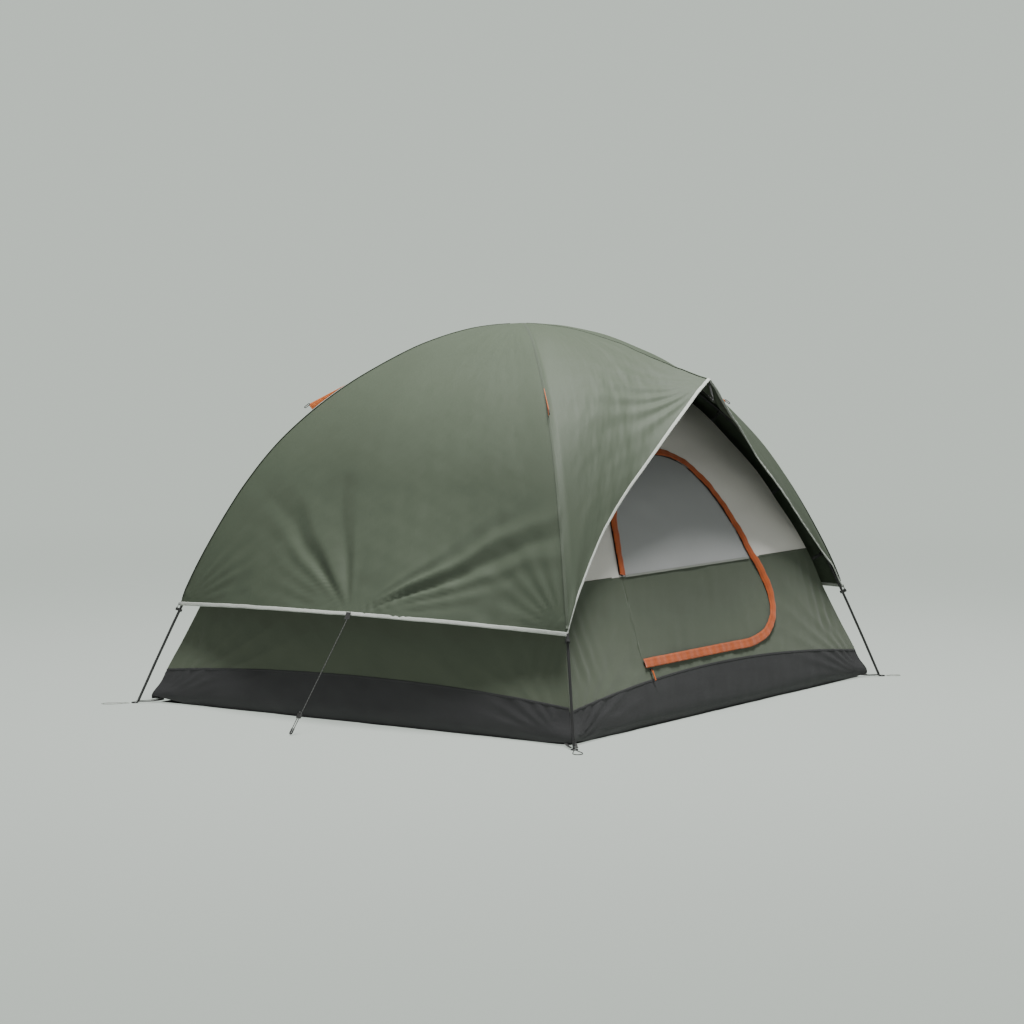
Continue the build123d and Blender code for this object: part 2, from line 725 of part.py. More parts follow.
with BuildPart() as brow_binding:
    for sgn in (-1, 1):
        add(tape([(-math.pi / 2 + sgn * t, front_section(t))
                  for t in spaced(EPS, A_FRONT - EPS, 7)], 14.0).part)
keep(brow_binding, "brow_binding")


# short pole under the rainfly that holds the brow out over the door
def bow(y):
    """Height of the ridge pole's centre line at a distance y from the apex."""
    return RIDGE_APEX - RIDGE_R + math.sqrt(RIDGE_R ** 2 - y * y)


def bow_edge(y0, y1):
    ym = (y0 + y1) / 2
    return [(Vector(0, y0, bow(y0)), Vector(0, ym, bow(ym)), Vector(0, y1, bow(y1)))]


keep(swept_tube(bow_edge(-RIDGE_FRONT, RIDGE_REAR), RIDGE_ROD_D, 0), "ridge_pole")

with BuildPart() as ridge_pole_caps:
    for y, out, dia in ((-RIDGE_FRONT, -1, 10.0), (RIDGE_REAR, 1, 8.0)):
        slope = -y / math.sqrt(RIDGE_R ** 2 - y * y)
        d = Vector(0, out, out * slope).normalized()
        end = Vector(0, y, bow(y))
        with BuildSketch(Plane(origin=end - d * 14.0, z_dir=d)):
            Circle(dia / 2)
        extrude(amount=17.0)
        with BuildSketch(Plane(origin=end - d * 14.0, z_dir=d)):
            Circle(RIDGE_ROD_D / 2 + 0.15)
        extrude(amount=14.1, mode=Mode.SUBTRACT)
keep(ridge_pole_caps, "ridge_pole_caps")

# apex pocket and the webbing that ties the pole's front tip to the brow
with BuildPart() as ridge_pockets:
    with BuildSketch(Plane.XZ.offset(-RIDGE_REAR + 9.0)):
        with BuildLine():
            Polyline((-16, 1399.0), (-7.5, 1388.4), (7.5, 1388.4), (16, 1399.0), (14.4, 1399.0),
                     (6.8, 1389.8), (-6.8, 1389.8), (-14.4, 1399.0), close=True)
        make_face()
    extrude(amount=-14.0)
    tip = Vector(0, -RIDGE_FRONT - 2.0, bow(RIDGE_FRONT) + 8.0)
    peak = Vector(0, -826.0, 1186.0)
    d = (peak - tip).normalized()
    with BuildSketch(Plane(origin=tip, x_dir=Vector(1, 0, 0), z_dir=d)):
        Rectangle(12.0, 1.4)
    extrude(amount=(peak - tip).length)
keep(ridge_pockets, "ridge_pockets")

# guy tabs sewn into the pole seams, each with a short loop for a line
TAB_TOP, TAB_LOW, TAB_OUT = 1174.0, 1080.0, 25.0


def tab_frame():
    """Points of a guy tab in the upright plane of a pole seam."""
    a = (at(EDGE_FINE, TAB_TOP) + 0.6, TAB_TOP)
    b = (at(EDGE_FINE, TAB_LOW) + 0.6, TAB_LOW)
    m = math.dist(a, b)
    t = ((b[0] - a[0]) / m, (b[1] - a[1]) / m)
    n = (-t[1], t[0])
    tip = (b[0] + n[0] * TAB_OUT - t[0] * 8, b[1] + n[1] * TAB_OUT - t[1] * 8)
    return a, b, t, n, tip


with BuildPart() as guy_tabs:
    a, b, t, n, tip = tab_frame()
    heel = (tip[0] + t[0] * 9 - n[0] * 2, tip[1] + t[1] * 9 - n[1] * 2)
    edge = []
    for f in (0.25, 0.5, 0.75):
        z = b[1] + (a[1] - b[1]) * f
        edge.append((at(EDGE_FINE, z) + 0.6 + n[0] * 2.0, z + n[1] * 2.0))
    a = (a[0] + n[0] * 1.5, a[1] + n[1] * 1.5)
    b = (b[0] + n[0] * 1.5, b[1] + n[1] * 1.5)
    for cn, (sx, sy) in CORNERS.items():
        phi = math.atan2(sy * HALF_Y, sx * HALF_X)
        with BuildSketch(radial_plane(phi)):
            with BuildLine():
                Polyline(a, tip, heel, b, *edge, close=True)
            make_face()
        extrude(amount=0.8, both=True)
keep(guy_tabs, "guy_tabs")

with BuildPart() as guy_tab_loops:
    a, b, t, n, tip = tab_frame()
    d = (0.80, -0.60)
    q = (tip[0] + d[0] * 13.4 + t[0] * 2, tip[1] + d[1] * 13.4 + t[1] * 2)
    ang = math.degrees(math.atan2(d[1], d[0]))
    for cn, (sx, sy) in CORNERS.items():
        phi = math.atan2(sy * HALF_Y, sx * HALF_X)
        with BuildSketch(radial_plane(phi)):
            with Locations(Location((q[0], q[1], 0), (0, 0, ang))):
                SlotOverall(26.0, 8.0)
                SlotOverall(20.0, 3.0, mode=Mode.SUBTRACT)
        extrude(amount=1.2, both=True)
keep(guy_tab_loops, "guy_tab_loops")

# hooks that clip the rainfly's corners to the poles, open towards the tent so
# that they leave the pole as the rainfly is lifted
HOOK_Z = 342.0
with BuildPart() as corner_hooks:
    for cn, (sx, sy) in CORNERS.items():
        pole = "pole_a" if sx * sy < 0 else "pole_b"
        _, turns, apex = POLES[pole]
        dirn = diagonal(sx, sy)
        r, z, slope = chain_point(turns, apex, s_at_height(turns, apex, HOOK_Z))
        along = Vector(dirn.X * math.cos(slope), dirn.Y * math.cos(slope), -math.sin(slope))
        inward = Vector(-dirn.X * math.sin(slope), -dirn.Y * math.sin(slope), -math.cos(slope))
        with BuildSketch(Plane(origin=pole_point(dirn, r, z) - along * 5.0,
                               x_dir=inward, z_dir=along)):
            Circle(8.4)
            with Locations((4.0, 0)):
                Rectangle(8.0, 16.8)
            with Locations((-11.5, 0)):
                Rectangle(8.0, 12.0)
            Circle(5.3, mode=Mode.SUBTRACT)
            with Locations((6.0, 0)):
                Rectangle(12.0, 10.6, mode=Mode.SUBTRACT)
            with Locations((-12.2, 0)):
                Rectangle(2.6, 9.0, mode=Mode.SUBTRACT)
        extrude(amount=10.0)
keep(corner_hooks, "corner_hooks")

with BuildPart() as hook_straps:
    for cn, (sx, sy) in CORNERS.items():
        pole = "pole_a" if sx * sy < 0 else "pole_b"
        _, turns, apex = POLES[pole]
        dirn = diagonal(sx, sy)
        r, z, slope = chain_point(turns, apex, s_at_height(turns, apex, HOOK_Z))
        outw = (math.sin(slope), math.cos(slope))
        up2 = (-math.cos(slope), math.sin(slope))
        c0 = (r + outw[0] * 12.2 - up2[0] * 7, z + outw[1] * 12.2 - up2[1] * 7)
        c1 = (r + outw[0] * 12.2 + up2[0] * 9, z + outw[1] * 12.2 + up2[1] * 9)
        c2 = (at(EDGE_FINE, 370.0) + 4.2, 370.0)
        phi = math.atan2(sy * HALF_Y, sx * HALF_X)
        with BuildSketch(radial_plane(phi)):
            with BuildLine():
                Polyline((c0[0] - 0.6 * outw[0], c0[1] - 0.6 * outw[1]),
                         (c1[0] - 0.6 * outw[0], c1[1] - 0.6 * outw[1]),
                         (c2[0] - 0.6, c2[1]), (c2[0] + 0.6, c2[1]),
                         (c1[0] + 0.6 * outw[0], c1[1] + 0.6 * outw[1]),
                         (c0[0] + 0.6 * outw[0], c0[1] + 0.6 * outw[1]), close=True)
            make_face()
        extrude(amount=4.2, both=True)
keep(hook_straps, "hook_straps")

# webbing loop in the middle of the left hem, and the guyline tied to it
GUY_TOP = Vector(-1094.0, -4.0, 371.0)
GUY_TIP = Vector(-1407.0, -4.0, 6.6)
GUY_U = (GUY_TIP - GUY_TOP).normalized()
GUY_BACK = 84.0            # length doubled back from the ground end
with BuildPart() as hem_loop:
    with BuildSketch(Plane.XZ.offset(-10.0)):
        with BuildLine():
            Polyline((-1080.0, 396.0), (-1087.5, 378.0), (-1092.6, 372.4), (-1091.4, 371.2),
                     (-1085.8, 377.0), (-1078.4, 395.4), close=True)
        make_face()
    extrude(amount=20.0)
keep(hem_loop, "hem_loop")

guy_side = Vector(0, 8.0, 0)
guy_route = [GUY_TOP, GUY_TIP, GUY_TIP + guy_side,
             GUY_TIP + guy_side - GUY_U * GUY_BACK]
cord_tube(guy_route, [3.9, 3.9], GUY_D, "guyline")

GUY_W = Vector(-GUY_U.Z, 0, GUY_U.X) * -1.0     # square to the line, upward
with BuildPart() as guyline_sleeve:
    with BuildLine() as path:
        FilletPolyline(GUY_TIP - GUY_U * 22.0, GUY_TIP, GUY_TIP + guy_side,
                       GUY_TIP + guy_side - GUY_U * 22.0, radius=[3.9, 3.9])
    with BuildSketch(Plane(origin=GUY_TIP - GUY_U * 22.0, z_dir=GUY_U)):
        Circle(2.7)
        Circle(1.8, mode=Mode.SUBTRACT)
    sweep(path=path.wires()[0])
keep(guyline_sleeve, "guyline_sleeve")

with BuildPart() as guyline_knot:
    with BuildSketch(Plane(origin=guy_route[-1], x_dir=GUY_W, z_dir=GUY_U * -1)):
        Circle(3.2)
    extrude(amount=7.0)
    chamfer(guyline_knot.edges(), length=0.9)
keep(guyline_knot, "guyline_knot")

with BuildPart() as guyline_runner:
    c = GUY_TIP + guy_side * 0.5 - GUY_U * (GUY_BACK - 2.0)
    with BuildSketch(Plane(origin=c, x_dir=Vector(0, 1, 0), z_dir=GUY_U)):
        RectangleRounded(19.0, 8.0, 3.0)
        with Locations((-4.0, 0), (4.0, 0)):
            Circle(GUY_D / 2 + 0.4, mode=Mode.SUBTRACT)
    extrude(amount=16.0)
keep(guyline_runner, "guyline_runner")


if __name__ == "__main__":
    os.makedirs("parts", exist_ok=True)
    for builder, label in PARTS:
        export_step(builder.part, "parts/" + label + ".step")
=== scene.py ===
import bpy
import bmesh
import math
import numpy as np
from mathutils import Vector, Matrix, noise
from mathutils.geometry import delaunay_2d_cdt


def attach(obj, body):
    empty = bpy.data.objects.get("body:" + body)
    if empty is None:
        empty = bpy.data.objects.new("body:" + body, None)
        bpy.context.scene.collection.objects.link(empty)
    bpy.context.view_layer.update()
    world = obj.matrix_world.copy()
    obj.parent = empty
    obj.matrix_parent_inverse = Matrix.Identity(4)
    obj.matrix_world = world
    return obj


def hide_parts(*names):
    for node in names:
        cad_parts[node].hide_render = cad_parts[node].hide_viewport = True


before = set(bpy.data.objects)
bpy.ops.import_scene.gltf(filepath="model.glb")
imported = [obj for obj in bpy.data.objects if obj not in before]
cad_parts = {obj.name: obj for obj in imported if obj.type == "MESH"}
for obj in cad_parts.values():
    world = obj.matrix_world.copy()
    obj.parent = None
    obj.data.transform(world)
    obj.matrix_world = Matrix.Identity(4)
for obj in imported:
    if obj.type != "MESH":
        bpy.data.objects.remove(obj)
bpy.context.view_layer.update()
rng = np.random.default_rng(11)

# --------------------------------------------------------------- camera ----
cam_data = bpy.data.cameras.new("camera")
cam = bpy.data.objects.new("camera", cam_data)
bpy.context.scene.collection.objects.link(cam)
A_CAM, E_CAM = -0.9708, 0.0747
cam.location = (-8.80045, -5.97751, 1.47787)
back = Vector((math.sin(A_CAM) * math.cos(E_CAM), -math.cos(A_CAM) * math.cos(E_CAM),
               math.sin(E_CAM)))
cam.rotation_euler = back.to_track_quat("Z", "Y").to_euler()
cam_data.sensor_width = 36.0
cam_data.lens = 98.13
cam_data.clip_end = 500.0
bpy.context.scene.camera = cam

# ------------------------------------------------------------- dimensions --
HX, HY = 1.050, 0.913
DIAG = math.hypot(HX, HY)
INNER_EDGE = [(1392, 0), (1372, 100), (1300, 234), (1230, 368), (1178, 482),
              (1110, 600), (1040, 700), (955, 820), (845, 940), (700, 1080),
              (500, 1205), (260, 1295), (6, 1325)]
FLY_EDGE = [(1314, 360), (1296, 400), (1249, 500), (1196, 600), (1137, 700),
            (1071, 800), (994, 900), (899, 1000), (781, 1100), (634, 1200),
            (447, 1300), (321, 1350), (207, 1382), (110, 1397), (5, 1404)]
FLY_RIDGE = [(832, 1200), (762, 1222), (685, 1247), (610, 1274), (500, 1316),
             (425, 1341), (330, 1366), (216, 1390), (110, 1400), (5, 1404)]
FLY_BROW = [(0, 832, 1200), (77, 826, 1150), (141, 821, 1100), (272, 813, 1000),
            (403, 806, 900), (538, 803, 800), (663, 807, 700), (771, 817, 600),
            (874, 835, 500), (925, 847, 450), (962, 853, 400)]
HEM_RISE, HEM_PULL = 24.0, 92.0
SEAM_GREEN = 0.515
TUB_FRONT, TUB_SIDE = (0.092, 0.168), (0.095, 0.160)
DOOR_ZIP = [(-487, 520), (-458, 610), (-421, 700), (-365, 778), (-285, 845),
            (-180, 897), (-60, 925), (68, 926), (190, 893), (268, 835),
            (345, 745), (397, 640), (437, 531), (474, 464), (500, 382),
            (484, 309), (405, 245), (275, 216), (140, 214), (0, 214),
            (-140, 214), (-280, 214), (-400, 214), (-500, 214)]
A_SIDE, A_FRONT = math.atan2(HY, HX), math.atan2(HX, HY)
FOOT_R = 1.46822
CX, CY = HX * 1314 / DIAG, HY * 1314 / DIAG


def smooth(pts, n):
    out = []
    for i in range(len(pts) - 1):
        p0, p1, p2 = pts[max(i - 1, 0)], pts[i], pts[i + 1]
        p3 = pts[min(i + 2, len(pts) - 1)]
        for k in range(n):
            t = k / n
            out.append(tuple(0.5 * (2 * b + (c - a) * t + (2 * a - 5 * b + 4 * c - d) * t * t
                                    + (3 * b - a - 3 * c + d) * t ** 3)
                             for a, b, c, d in zip(p0, p1, p2, p3)))
    out.append(tuple(map(float, pts[-1])))
    return out


def arc_sample(pts, n):
    """n points evenly spaced along a line of points."""
    p = np.array(pts, float)
    s = np.concatenate([[0], np.cumsum(np.linalg.norm(np.diff(p, axis=0), axis=1))])
    q = np.linspace(0, s[-1], n)
    return np.stack([np.interp(q, s, p[:, k]) for k in range(p.shape[1])], axis=1)


def offset_line(pts, d):
    """Points of a flat line moved d to the left of the way it runs."""
    p = np.array(pts, float)
    t = np.gradient(p, axis=0)
    t /= np.linalg.norm(t, axis=1)[:, None] + 1e-12
    return p + d * np.stack([-t[:, 1], t[:, 0]], axis=1)


def inner_r(z):
    return np.interp(z, INNER_Z, INNER_R)


_in = np.array(smooth(INNER_EDGE, 8)) / 1000
INNER_Z, INNER_R = _in[:, 1], _in[:, 0]


def fbm(x, y, scale, seed, octaves=3):
    """Smooth noise from fixed sines, about -1 to 1."""
    g = np.random.default_rng(seed)
    out = np.zeros_like(x)
    amp, tot = 1.0, 0.0
    for o in range(octaves):
        k = 2 * math.pi / (scale / 2 ** o)
        for _ in range(5):
            a = g.uniform(0, 2 * math.pi)
            f = g.uniform(0.6, 1.35)
            out = out + amp * np.sin(k * f * (x * math.cos(a) + y * math.sin(a)) + g.uniform(0, 6.28))
        tot += amp * 2.4
        amp *= 0.5
    return out / tot


def sstep(a, b, x):
    t = np.clip((x - a) / (b - a), 0, 1)
    return t * t * (3 - 2 * t)


# --------------------------------------------------------------- meshes ----
def mesh_object(name, verts, faces, uvs=None, smooth_shade=True):
    me = bpy.data.meshes.new(name)
    me.from_pydata([tuple(map(float, v)) for v in verts], [], [tuple(map(int, f)) for f in faces])
    if uvs is not None:
        layer = me.uv_layers.new(name="UVMap")
        idx = np.empty(len(me.loops), np.int32)
        me.loops.foreach_get("vertex_index", idx)
        layer.data.foreach_set("uv", np.asarray(uvs, np.float32)[idx].ravel())
    me.polygons.foreach_set("use_smooth", [smooth_shade] * len(me.polygons))
    me.update()
    ob = bpy.data.objects.new(name, me)
    bpy.context.scene.collection.objects.link(ob)
    return ob


def grid_faces(nu, nv, close_u=False, flip=False):
    f = []
    for i in range(nu if close_u else nu - 1):
        i2 = (i + 1) % nu
        for j in range(nv - 1):
            q = (i * nv + j, i2 * nv + j, i2 * nv + j + 1, i * nv + j + 1)
            f.append(q[::-1] if flip else q)
    return f


def area_of(ob):
    return sum(p.area for p in ob.data.polygons)


def grid_normals(P, close_u=False):
    if close_u:
        du = np.roll(P, -1, axis=0) - np.roll(P, 1, axis=0)
    else:
        du = np.gradient(P, axis=0)
    dv = np.gradient(P, axis=1)
    n = np.cross(du, dv)
    return n / (np.linalg.norm(n, axis=2)[:, :, None] + 1e-12)


def thicken(ob, t):
    m = ob.modifiers.new("thickness", "SOLIDIFY")
    m.thickness = t
    m.offset = 0.0
    m.use_even_offset = False
    return ob


def ribbon(name, centre, across, outward, width, thick, crown=0.0, close=False, v_len=1.0):
    """Flat tape along a line: centre points, unit across and outward
    directions at each point. Rounded edges, UV in metres along and 0 to 1
    across."""
    c, a, n = (np.asarray(q, float) for q in (centre, across, outward))
    k = len(c)
    w, t = width / 2, thick / 2
    prof = [(-w, 0), (-w * 0.96, t), (-w * 0.72, t), (-w * 0.45, t), (0, t), (w * 0.45, t),
            (w * 0.72, t), (w * 0.96, t), (w, 0), (w * 0.96, -t), (w * 0.5, -t), (0, -t),
            (-w * 0.5, -t), (-w * 0.96, -t)]
    vs = np.array([p[0] / width + 0.5 for p in prof])
    seg = np.linalg.norm(np.diff(c, axis=0), axis=1)
    s = np.concatenate([[0], np.cumsum(seg)])
    verts, uvs = [], []
    m = len(prof)
    for i in range(k):
        for j, (x, y) in enumerate(prof):
            h = y + crown * (1 - (x / w) ** 2)
            verts.append(c[i] + a[i] * x + n[i] * h)
            uvs.append((s[i], vs[j]))
    faces = []
    for i in range(k if close else k - 1):
        i2 = (i + 1) % k
        for j in range(m):
            j2 = (j + 1) % m
            faces.append((i * m + j, i * m + j2, i2 * m + j2, i2 * m + j))
    if not close:
        faces.append(tuple(range(m)))
        faces.append(tuple(range((k - 1) * m, k * m))[::-1])
    return mesh_object(name, verts, faces, uvs)


# ------------------------------------------------------------ materials ----
def new_mat(name):
    m = bpy.data.materials.new(name)
    m.use_nodes = True
    nt = m.node_tree
    nt.nodes.clear()
    out = nt.nodes.new("ShaderNodeOutputMaterial")
    b = nt.nodes.new("ShaderNodeBsdfPrincipled")
    nt.links.new(b.outputs["BSDF"], out.inputs["Surface"])
    return m, nt, b


def node(nt, kind, **kw):
    n = nt.nodes.new("ShaderNode" + kind)
    for k, v in kw.items():
        if k in n.inputs:
            n.inputs[k].default_value = v
        else:
            setattr(n, k, v)
    return n


def math_node(nt, op, a, b=None):
    n = nt.nodes.new("ShaderNodeMath")
    n.operation = op
    for i, q in enumerate((a, b)):
        if q is None:
            continue
        if isinstance(q, (int, float)):
            n.inputs[i].default_value = q
        else:
            nt.links.new(q, n.inputs[i])
    return n.outputs[0]


def mix_color(nt, fac, c1, c2):
    n = nt.nodes.new("ShaderNodeMix")
    n.data_type = "RGBA"
    for sock, q in ((n.inputs[0], fac), (n.inputs[6], c1), (n.inputs[7], c2)):
        if isinstance(q, (int, float)):
            sock.default_value = q
        elif isinstance(q, tuple):
            sock.default_value = (*q, 1.0) if len(q) == 3 else q
        else:
            nt.links.new(q, sock)
    return n.outputs[2]


def cloth(name, light, dark, rough=0.75, thread=0.0016, weave=0.25, sheen=0.12, blotch=3.0,
          crumple=0.0, use_uv=True, ripstop=0.0):
    """Woven cloth: two crossed thread waves, slow colour change, fine crumple."""
    m, nt, b = new_mat(name)
    tc = node(nt, "TexCoord")
    co = tc.outputs["UV"] if use_uv else tc.outputs["Object"]
    sc = 2 * math.pi / (20 * thread)
    w1 = node(nt, "TexWave", wave_type="BANDS", bands_direction="X", wave_profile="SIN")
    w2 = node(nt, "TexWave", wave_type="BANDS", bands_direction="Y" if use_uv else "Z",
              wave_profile="SIN")
    for w in (w1, w2):
        w.inputs["Scale"].default_value = sc
        w.inputs["Distortion"].default_value = 0.35
        w.inputs["Detail Scale"].default_value = 2.0
        nt.links.new(co, w.inputs["Vector"])
    weave_h = math_node(nt, "MULTIPLY", w1.outputs["Fac"], w2.outputs["Fac"])
    big = node(nt, "TexNoise", Scale=blotch, Detail=4.0, Roughness=0.55)
    nt.links.new(tc.outputs["Object"], big.inputs["Vector"])
    fine = node(nt, "TexNoise", Scale=95.0, Detail=3.0, Roughness=0.6)
    nt.links.new(tc.outputs["Object"], fine.inputs["Vector"])
    ramp = node(nt, "ValToRGB")
    ramp.color_ramp.elements[0].position = 0.32
    ramp.color_ramp.elements[0].color = (*dark, 1)
    ramp.color_ramp.elements[1].position = 0.70
    ramp.color_ramp.elements[1].color = (*light, 1)
    f = math_node(nt, "ADD", math_node(nt, "MULTIPLY", big.outputs["Fac"], 0.8),
                  math_node(nt, "MULTIPLY", fine.outputs["Fac"], 0.2))
    nt.links.new(f, ramp.inputs["Fac"])
    shade = math_node(nt, "MULTIPLY", math_node(nt, "SUBTRACT", 1.0, weave_h), 0.16)
    col = mix_color(nt, shade, ramp.outputs["Color"], tuple(0.45 * d for d in dark))
    if ripstop:
        sep = node(nt, "SeparateXYZ")
        nt.links.new(co, sep.inputs[0])
        lines = None
        for k in (0, 1):
            fr = math_node(nt, "FRACT", math_node(nt, "DIVIDE", sep.outputs[k], ripstop))
            ln = math_node(nt, "LESS_THAN", fr, 0.12)
            lines = ln if lines is None else math_node(nt, "MAXIMUM", lines, ln)
        col = mix_color(nt, math_node(nt, "MULTIPLY", lines, 0.22), col, tuple(1.5 * q for q in light))
    nt.links.new(col, b.inputs["Base Color"])
    h = math_node(nt, "MULTIPLY", weave_h, weave)
    if crumple:
        cr = node(nt, "TexNoise", Scale=34.0, Detail=5.0, Roughness=0.6, Distortion=0.6)
        nt.links.new(tc.outputs["Object"], cr.inputs["Vector"])
        h = math_node(nt, "ADD", h, math_node(nt, "MULTIPLY", cr.outputs["Fac"], crumple))
    bump = node(nt, "Bump", Strength=0.55, Distance=0.0012)
    nt.links.new(h, bump.inputs["Height"])
    nt.links.new(bump.outputs["Normal"], b.inputs["Normal"])
    r = math_node(nt, "ADD", math_node(nt, "MULTIPLY", fine.outputs["Fac"], 0.18), rough - 0.09)
    nt.links.new(r, b.inputs["Roughness"])
    b.inputs["Sheen Weight"].default_value = sheen
    b.inputs["Sheen Roughness"].default_value = 0.5
    b.inputs["Specular IOR Level"].default_value = 0.35
    return m


def webbing(name, light, dark, thread, rough=0.72, rib=0.0011, lines=(0.13, 0.87), fold_shade=0.0):
    """Woven tape: ribs across it, stitched lines along it. Uses UV, metres
    along and 0 to 1 across."""
    m, nt, b = new_mat(name)
    tc = node(nt, "TexCoord")
    sep = node(nt, "SeparateXYZ")
    nt.links.new(tc.outputs["UV"], sep.inputs[0])
    u, v = sep.outputs[0], sep.outputs[1]
    ribs = math_node(nt, "ABSOLUTE", math_node(nt, "SINE", math_node(nt, "MULTIPLY", u, math.pi / rib)))
    cross = math_node(nt, "ABSOLUTE", math_node(nt, "SINE", math_node(nt, "MULTIPLY", v, 44.0)))
    weave = math_node(nt, "MULTIPLY", ribs, cross)
    big = node(nt, "TexNoise", Scale=22.0, Detail=4.0, Roughness=0.6)
    nt.links.new(tc.outputs["Object"], big.inputs["Vector"])
    base = mix_color(nt, big.outputs["Fac"], dark, light)
    base = mix_color(nt, math_node(nt, "MULTIPLY", math_node(nt, "SUBTRACT", 1.0, weave), 0.22),
                     base, tuple(0.35 * q for q in dark))
    if fold_shade:
        # painted shade: the tape's colour is darkened across the part of its width below this fraction, for the shaded
        # inner side of its fold
        inner = math_node(nt, "LESS_THAN", v, fold_shade)
        base = mix_color(nt, math_node(nt, "MULTIPLY", inner, 0.30), base, tuple(0.5 * q for q in dark))
    near = None
    for q in lines:
        band = math_node(nt, "LESS_THAN", math_node(nt, "ABSOLUTE", math_node(nt, "SUBTRACT", v, q)), 0.022)
        near = band if near is None else math_node(nt, "MAXIMUM", near, band)
    dash = math_node(nt, "LESS_THAN", math_node(nt, "FRACT", math_node(nt, "DIVIDE", u, 0.0042)), 0.66)
    st = math_node(nt, "MULTIPLY", near, dash)
    col = mix_color(nt, math_node(nt, "MULTIPLY", st, 0.45), base, thread)
    nt.links.new(col, b.inputs["Base Color"])
    h = math_node(nt, "ADD", math_node(nt, "MULTIPLY", weave, 0.3),
                  math_node(nt, "SUBTRACT", math_node(nt, "MULTIPLY", st, 1.2),
                            math_node(nt, "MULTIPLY", near, 0.7)))
    bump = node(nt, "Bump", Strength=0.6, Distance=0.0006)
    nt.links.new(h, bump.inputs["Height"])
    nt.links.new(bump.outputs["Normal"], b.inputs["Normal"])
    r = math_node(nt, "ADD", math_node(nt, "MULTIPLY", big.outputs["Fac"], 0.15), rough - 0.07)
    nt.links.new(r, b.inputs["Roughness"])
    b.inputs["Sheen Weight"].default_value = 0.15
    b.inputs["Specular IOR Level"].default_value = 0.3
    return m


def hard(name, light, dark, rough, metallic=0.0, grain=140.0, bump_h=0.25, stretch=(1, 1, 1)):
    """Moulded or metal surface: grain, scuffs and slow colour change."""
    m, nt, b = new_mat(name)
    tc = node(nt, "TexCoord")
    mp = node(nt, "Mapping")
    mp.inputs["Scale"].default_value = stretch
    nt.links.new(tc.outputs["Object"], mp.inputs["Vector"])
    g = node(nt, "TexNoise", Scale=grain, Detail=4.0, Roughness=0.65)
    nt.links.new(mp.outputs[0], g.inputs["Vector"])
    s = node(nt, "TexNoise", Scale=18.0, Detail=3.0, Roughness=0.5)
    nt.links.new(tc.outputs["Object"], s.inputs["Vector"])
    f = math_node(nt, "ADD", math_node(nt, "MULTIPLY", g.outputs["Fac"], 0.5),
                  math_node(nt, "MULTIPLY", s.outputs["Fac"], 0.5))
    nt.links.new(mix_color(nt, f, dark, light), b.inputs["Base Color"])
    r = math_node(nt, "ADD", math_node(nt, "MULTIPLY", g.outputs["Fac"], 0.28), rough - 0.14)
    nt.links.new(r, b.inputs["Roughness"])
    bump = node(nt, "Bump", Strength=bump_h, Distance=0.0004)
    nt.links.new(g.outputs["Fac"], bump.inputs["Height"])
    nt.links.new(bump.outputs["Normal"], b.inputs["Normal"])
    b.inputs["Metallic"].default_value = metallic
    return m


def braid(name, light, dark, pitch=0.004):
    """Twisted cord with a dark fleck. Uses object coordinates."""
    m, nt, b = new_mat(name)
    tc = node(nt, "TexCoord")
    w = node(nt, "TexWave", wave_type="BANDS", bands_direction="DIAGONAL", wave_profile="SIN")
    w.inputs["Scale"].default_value = 2 * math.pi / (20 * pitch)
    w.inputs["Distortion"].default_value = 2.0
    w.inputs["Detail Scale"].default_value = 3.0
    nt.links.new(tc.outputs["Object"], w.inputs["Vector"])
    n = node(nt, "TexNoise", Scale=160.0, Detail=3.0)
    nt.links.new(tc.outputs["Object"], n.inputs["Vector"])
    f = math_node(nt, "ADD", math_node(nt, "MULTIPLY", w.outputs["Fac"], 0.75),
                  math_node(nt, "MULTIPLY", n.outputs["Fac"], 0.25))
    nt.links.new(mix_color(nt, f, dark, light), b.inputs["Base Color"])
    bump = node(nt, "Bump", Strength=0.7, Distance=0.0005)
    nt.links.new(f, bump.inputs["Height"])
    nt.links.new(bump.outputs["Normal"], b.inputs["Normal"])
    r = math_node(nt, "ADD", math_node(nt, "MULTIPLY", n.outputs["Fac"], 0.2), 0.6)
    nt.links.new(r, b.inputs["Roughness"])
    return m


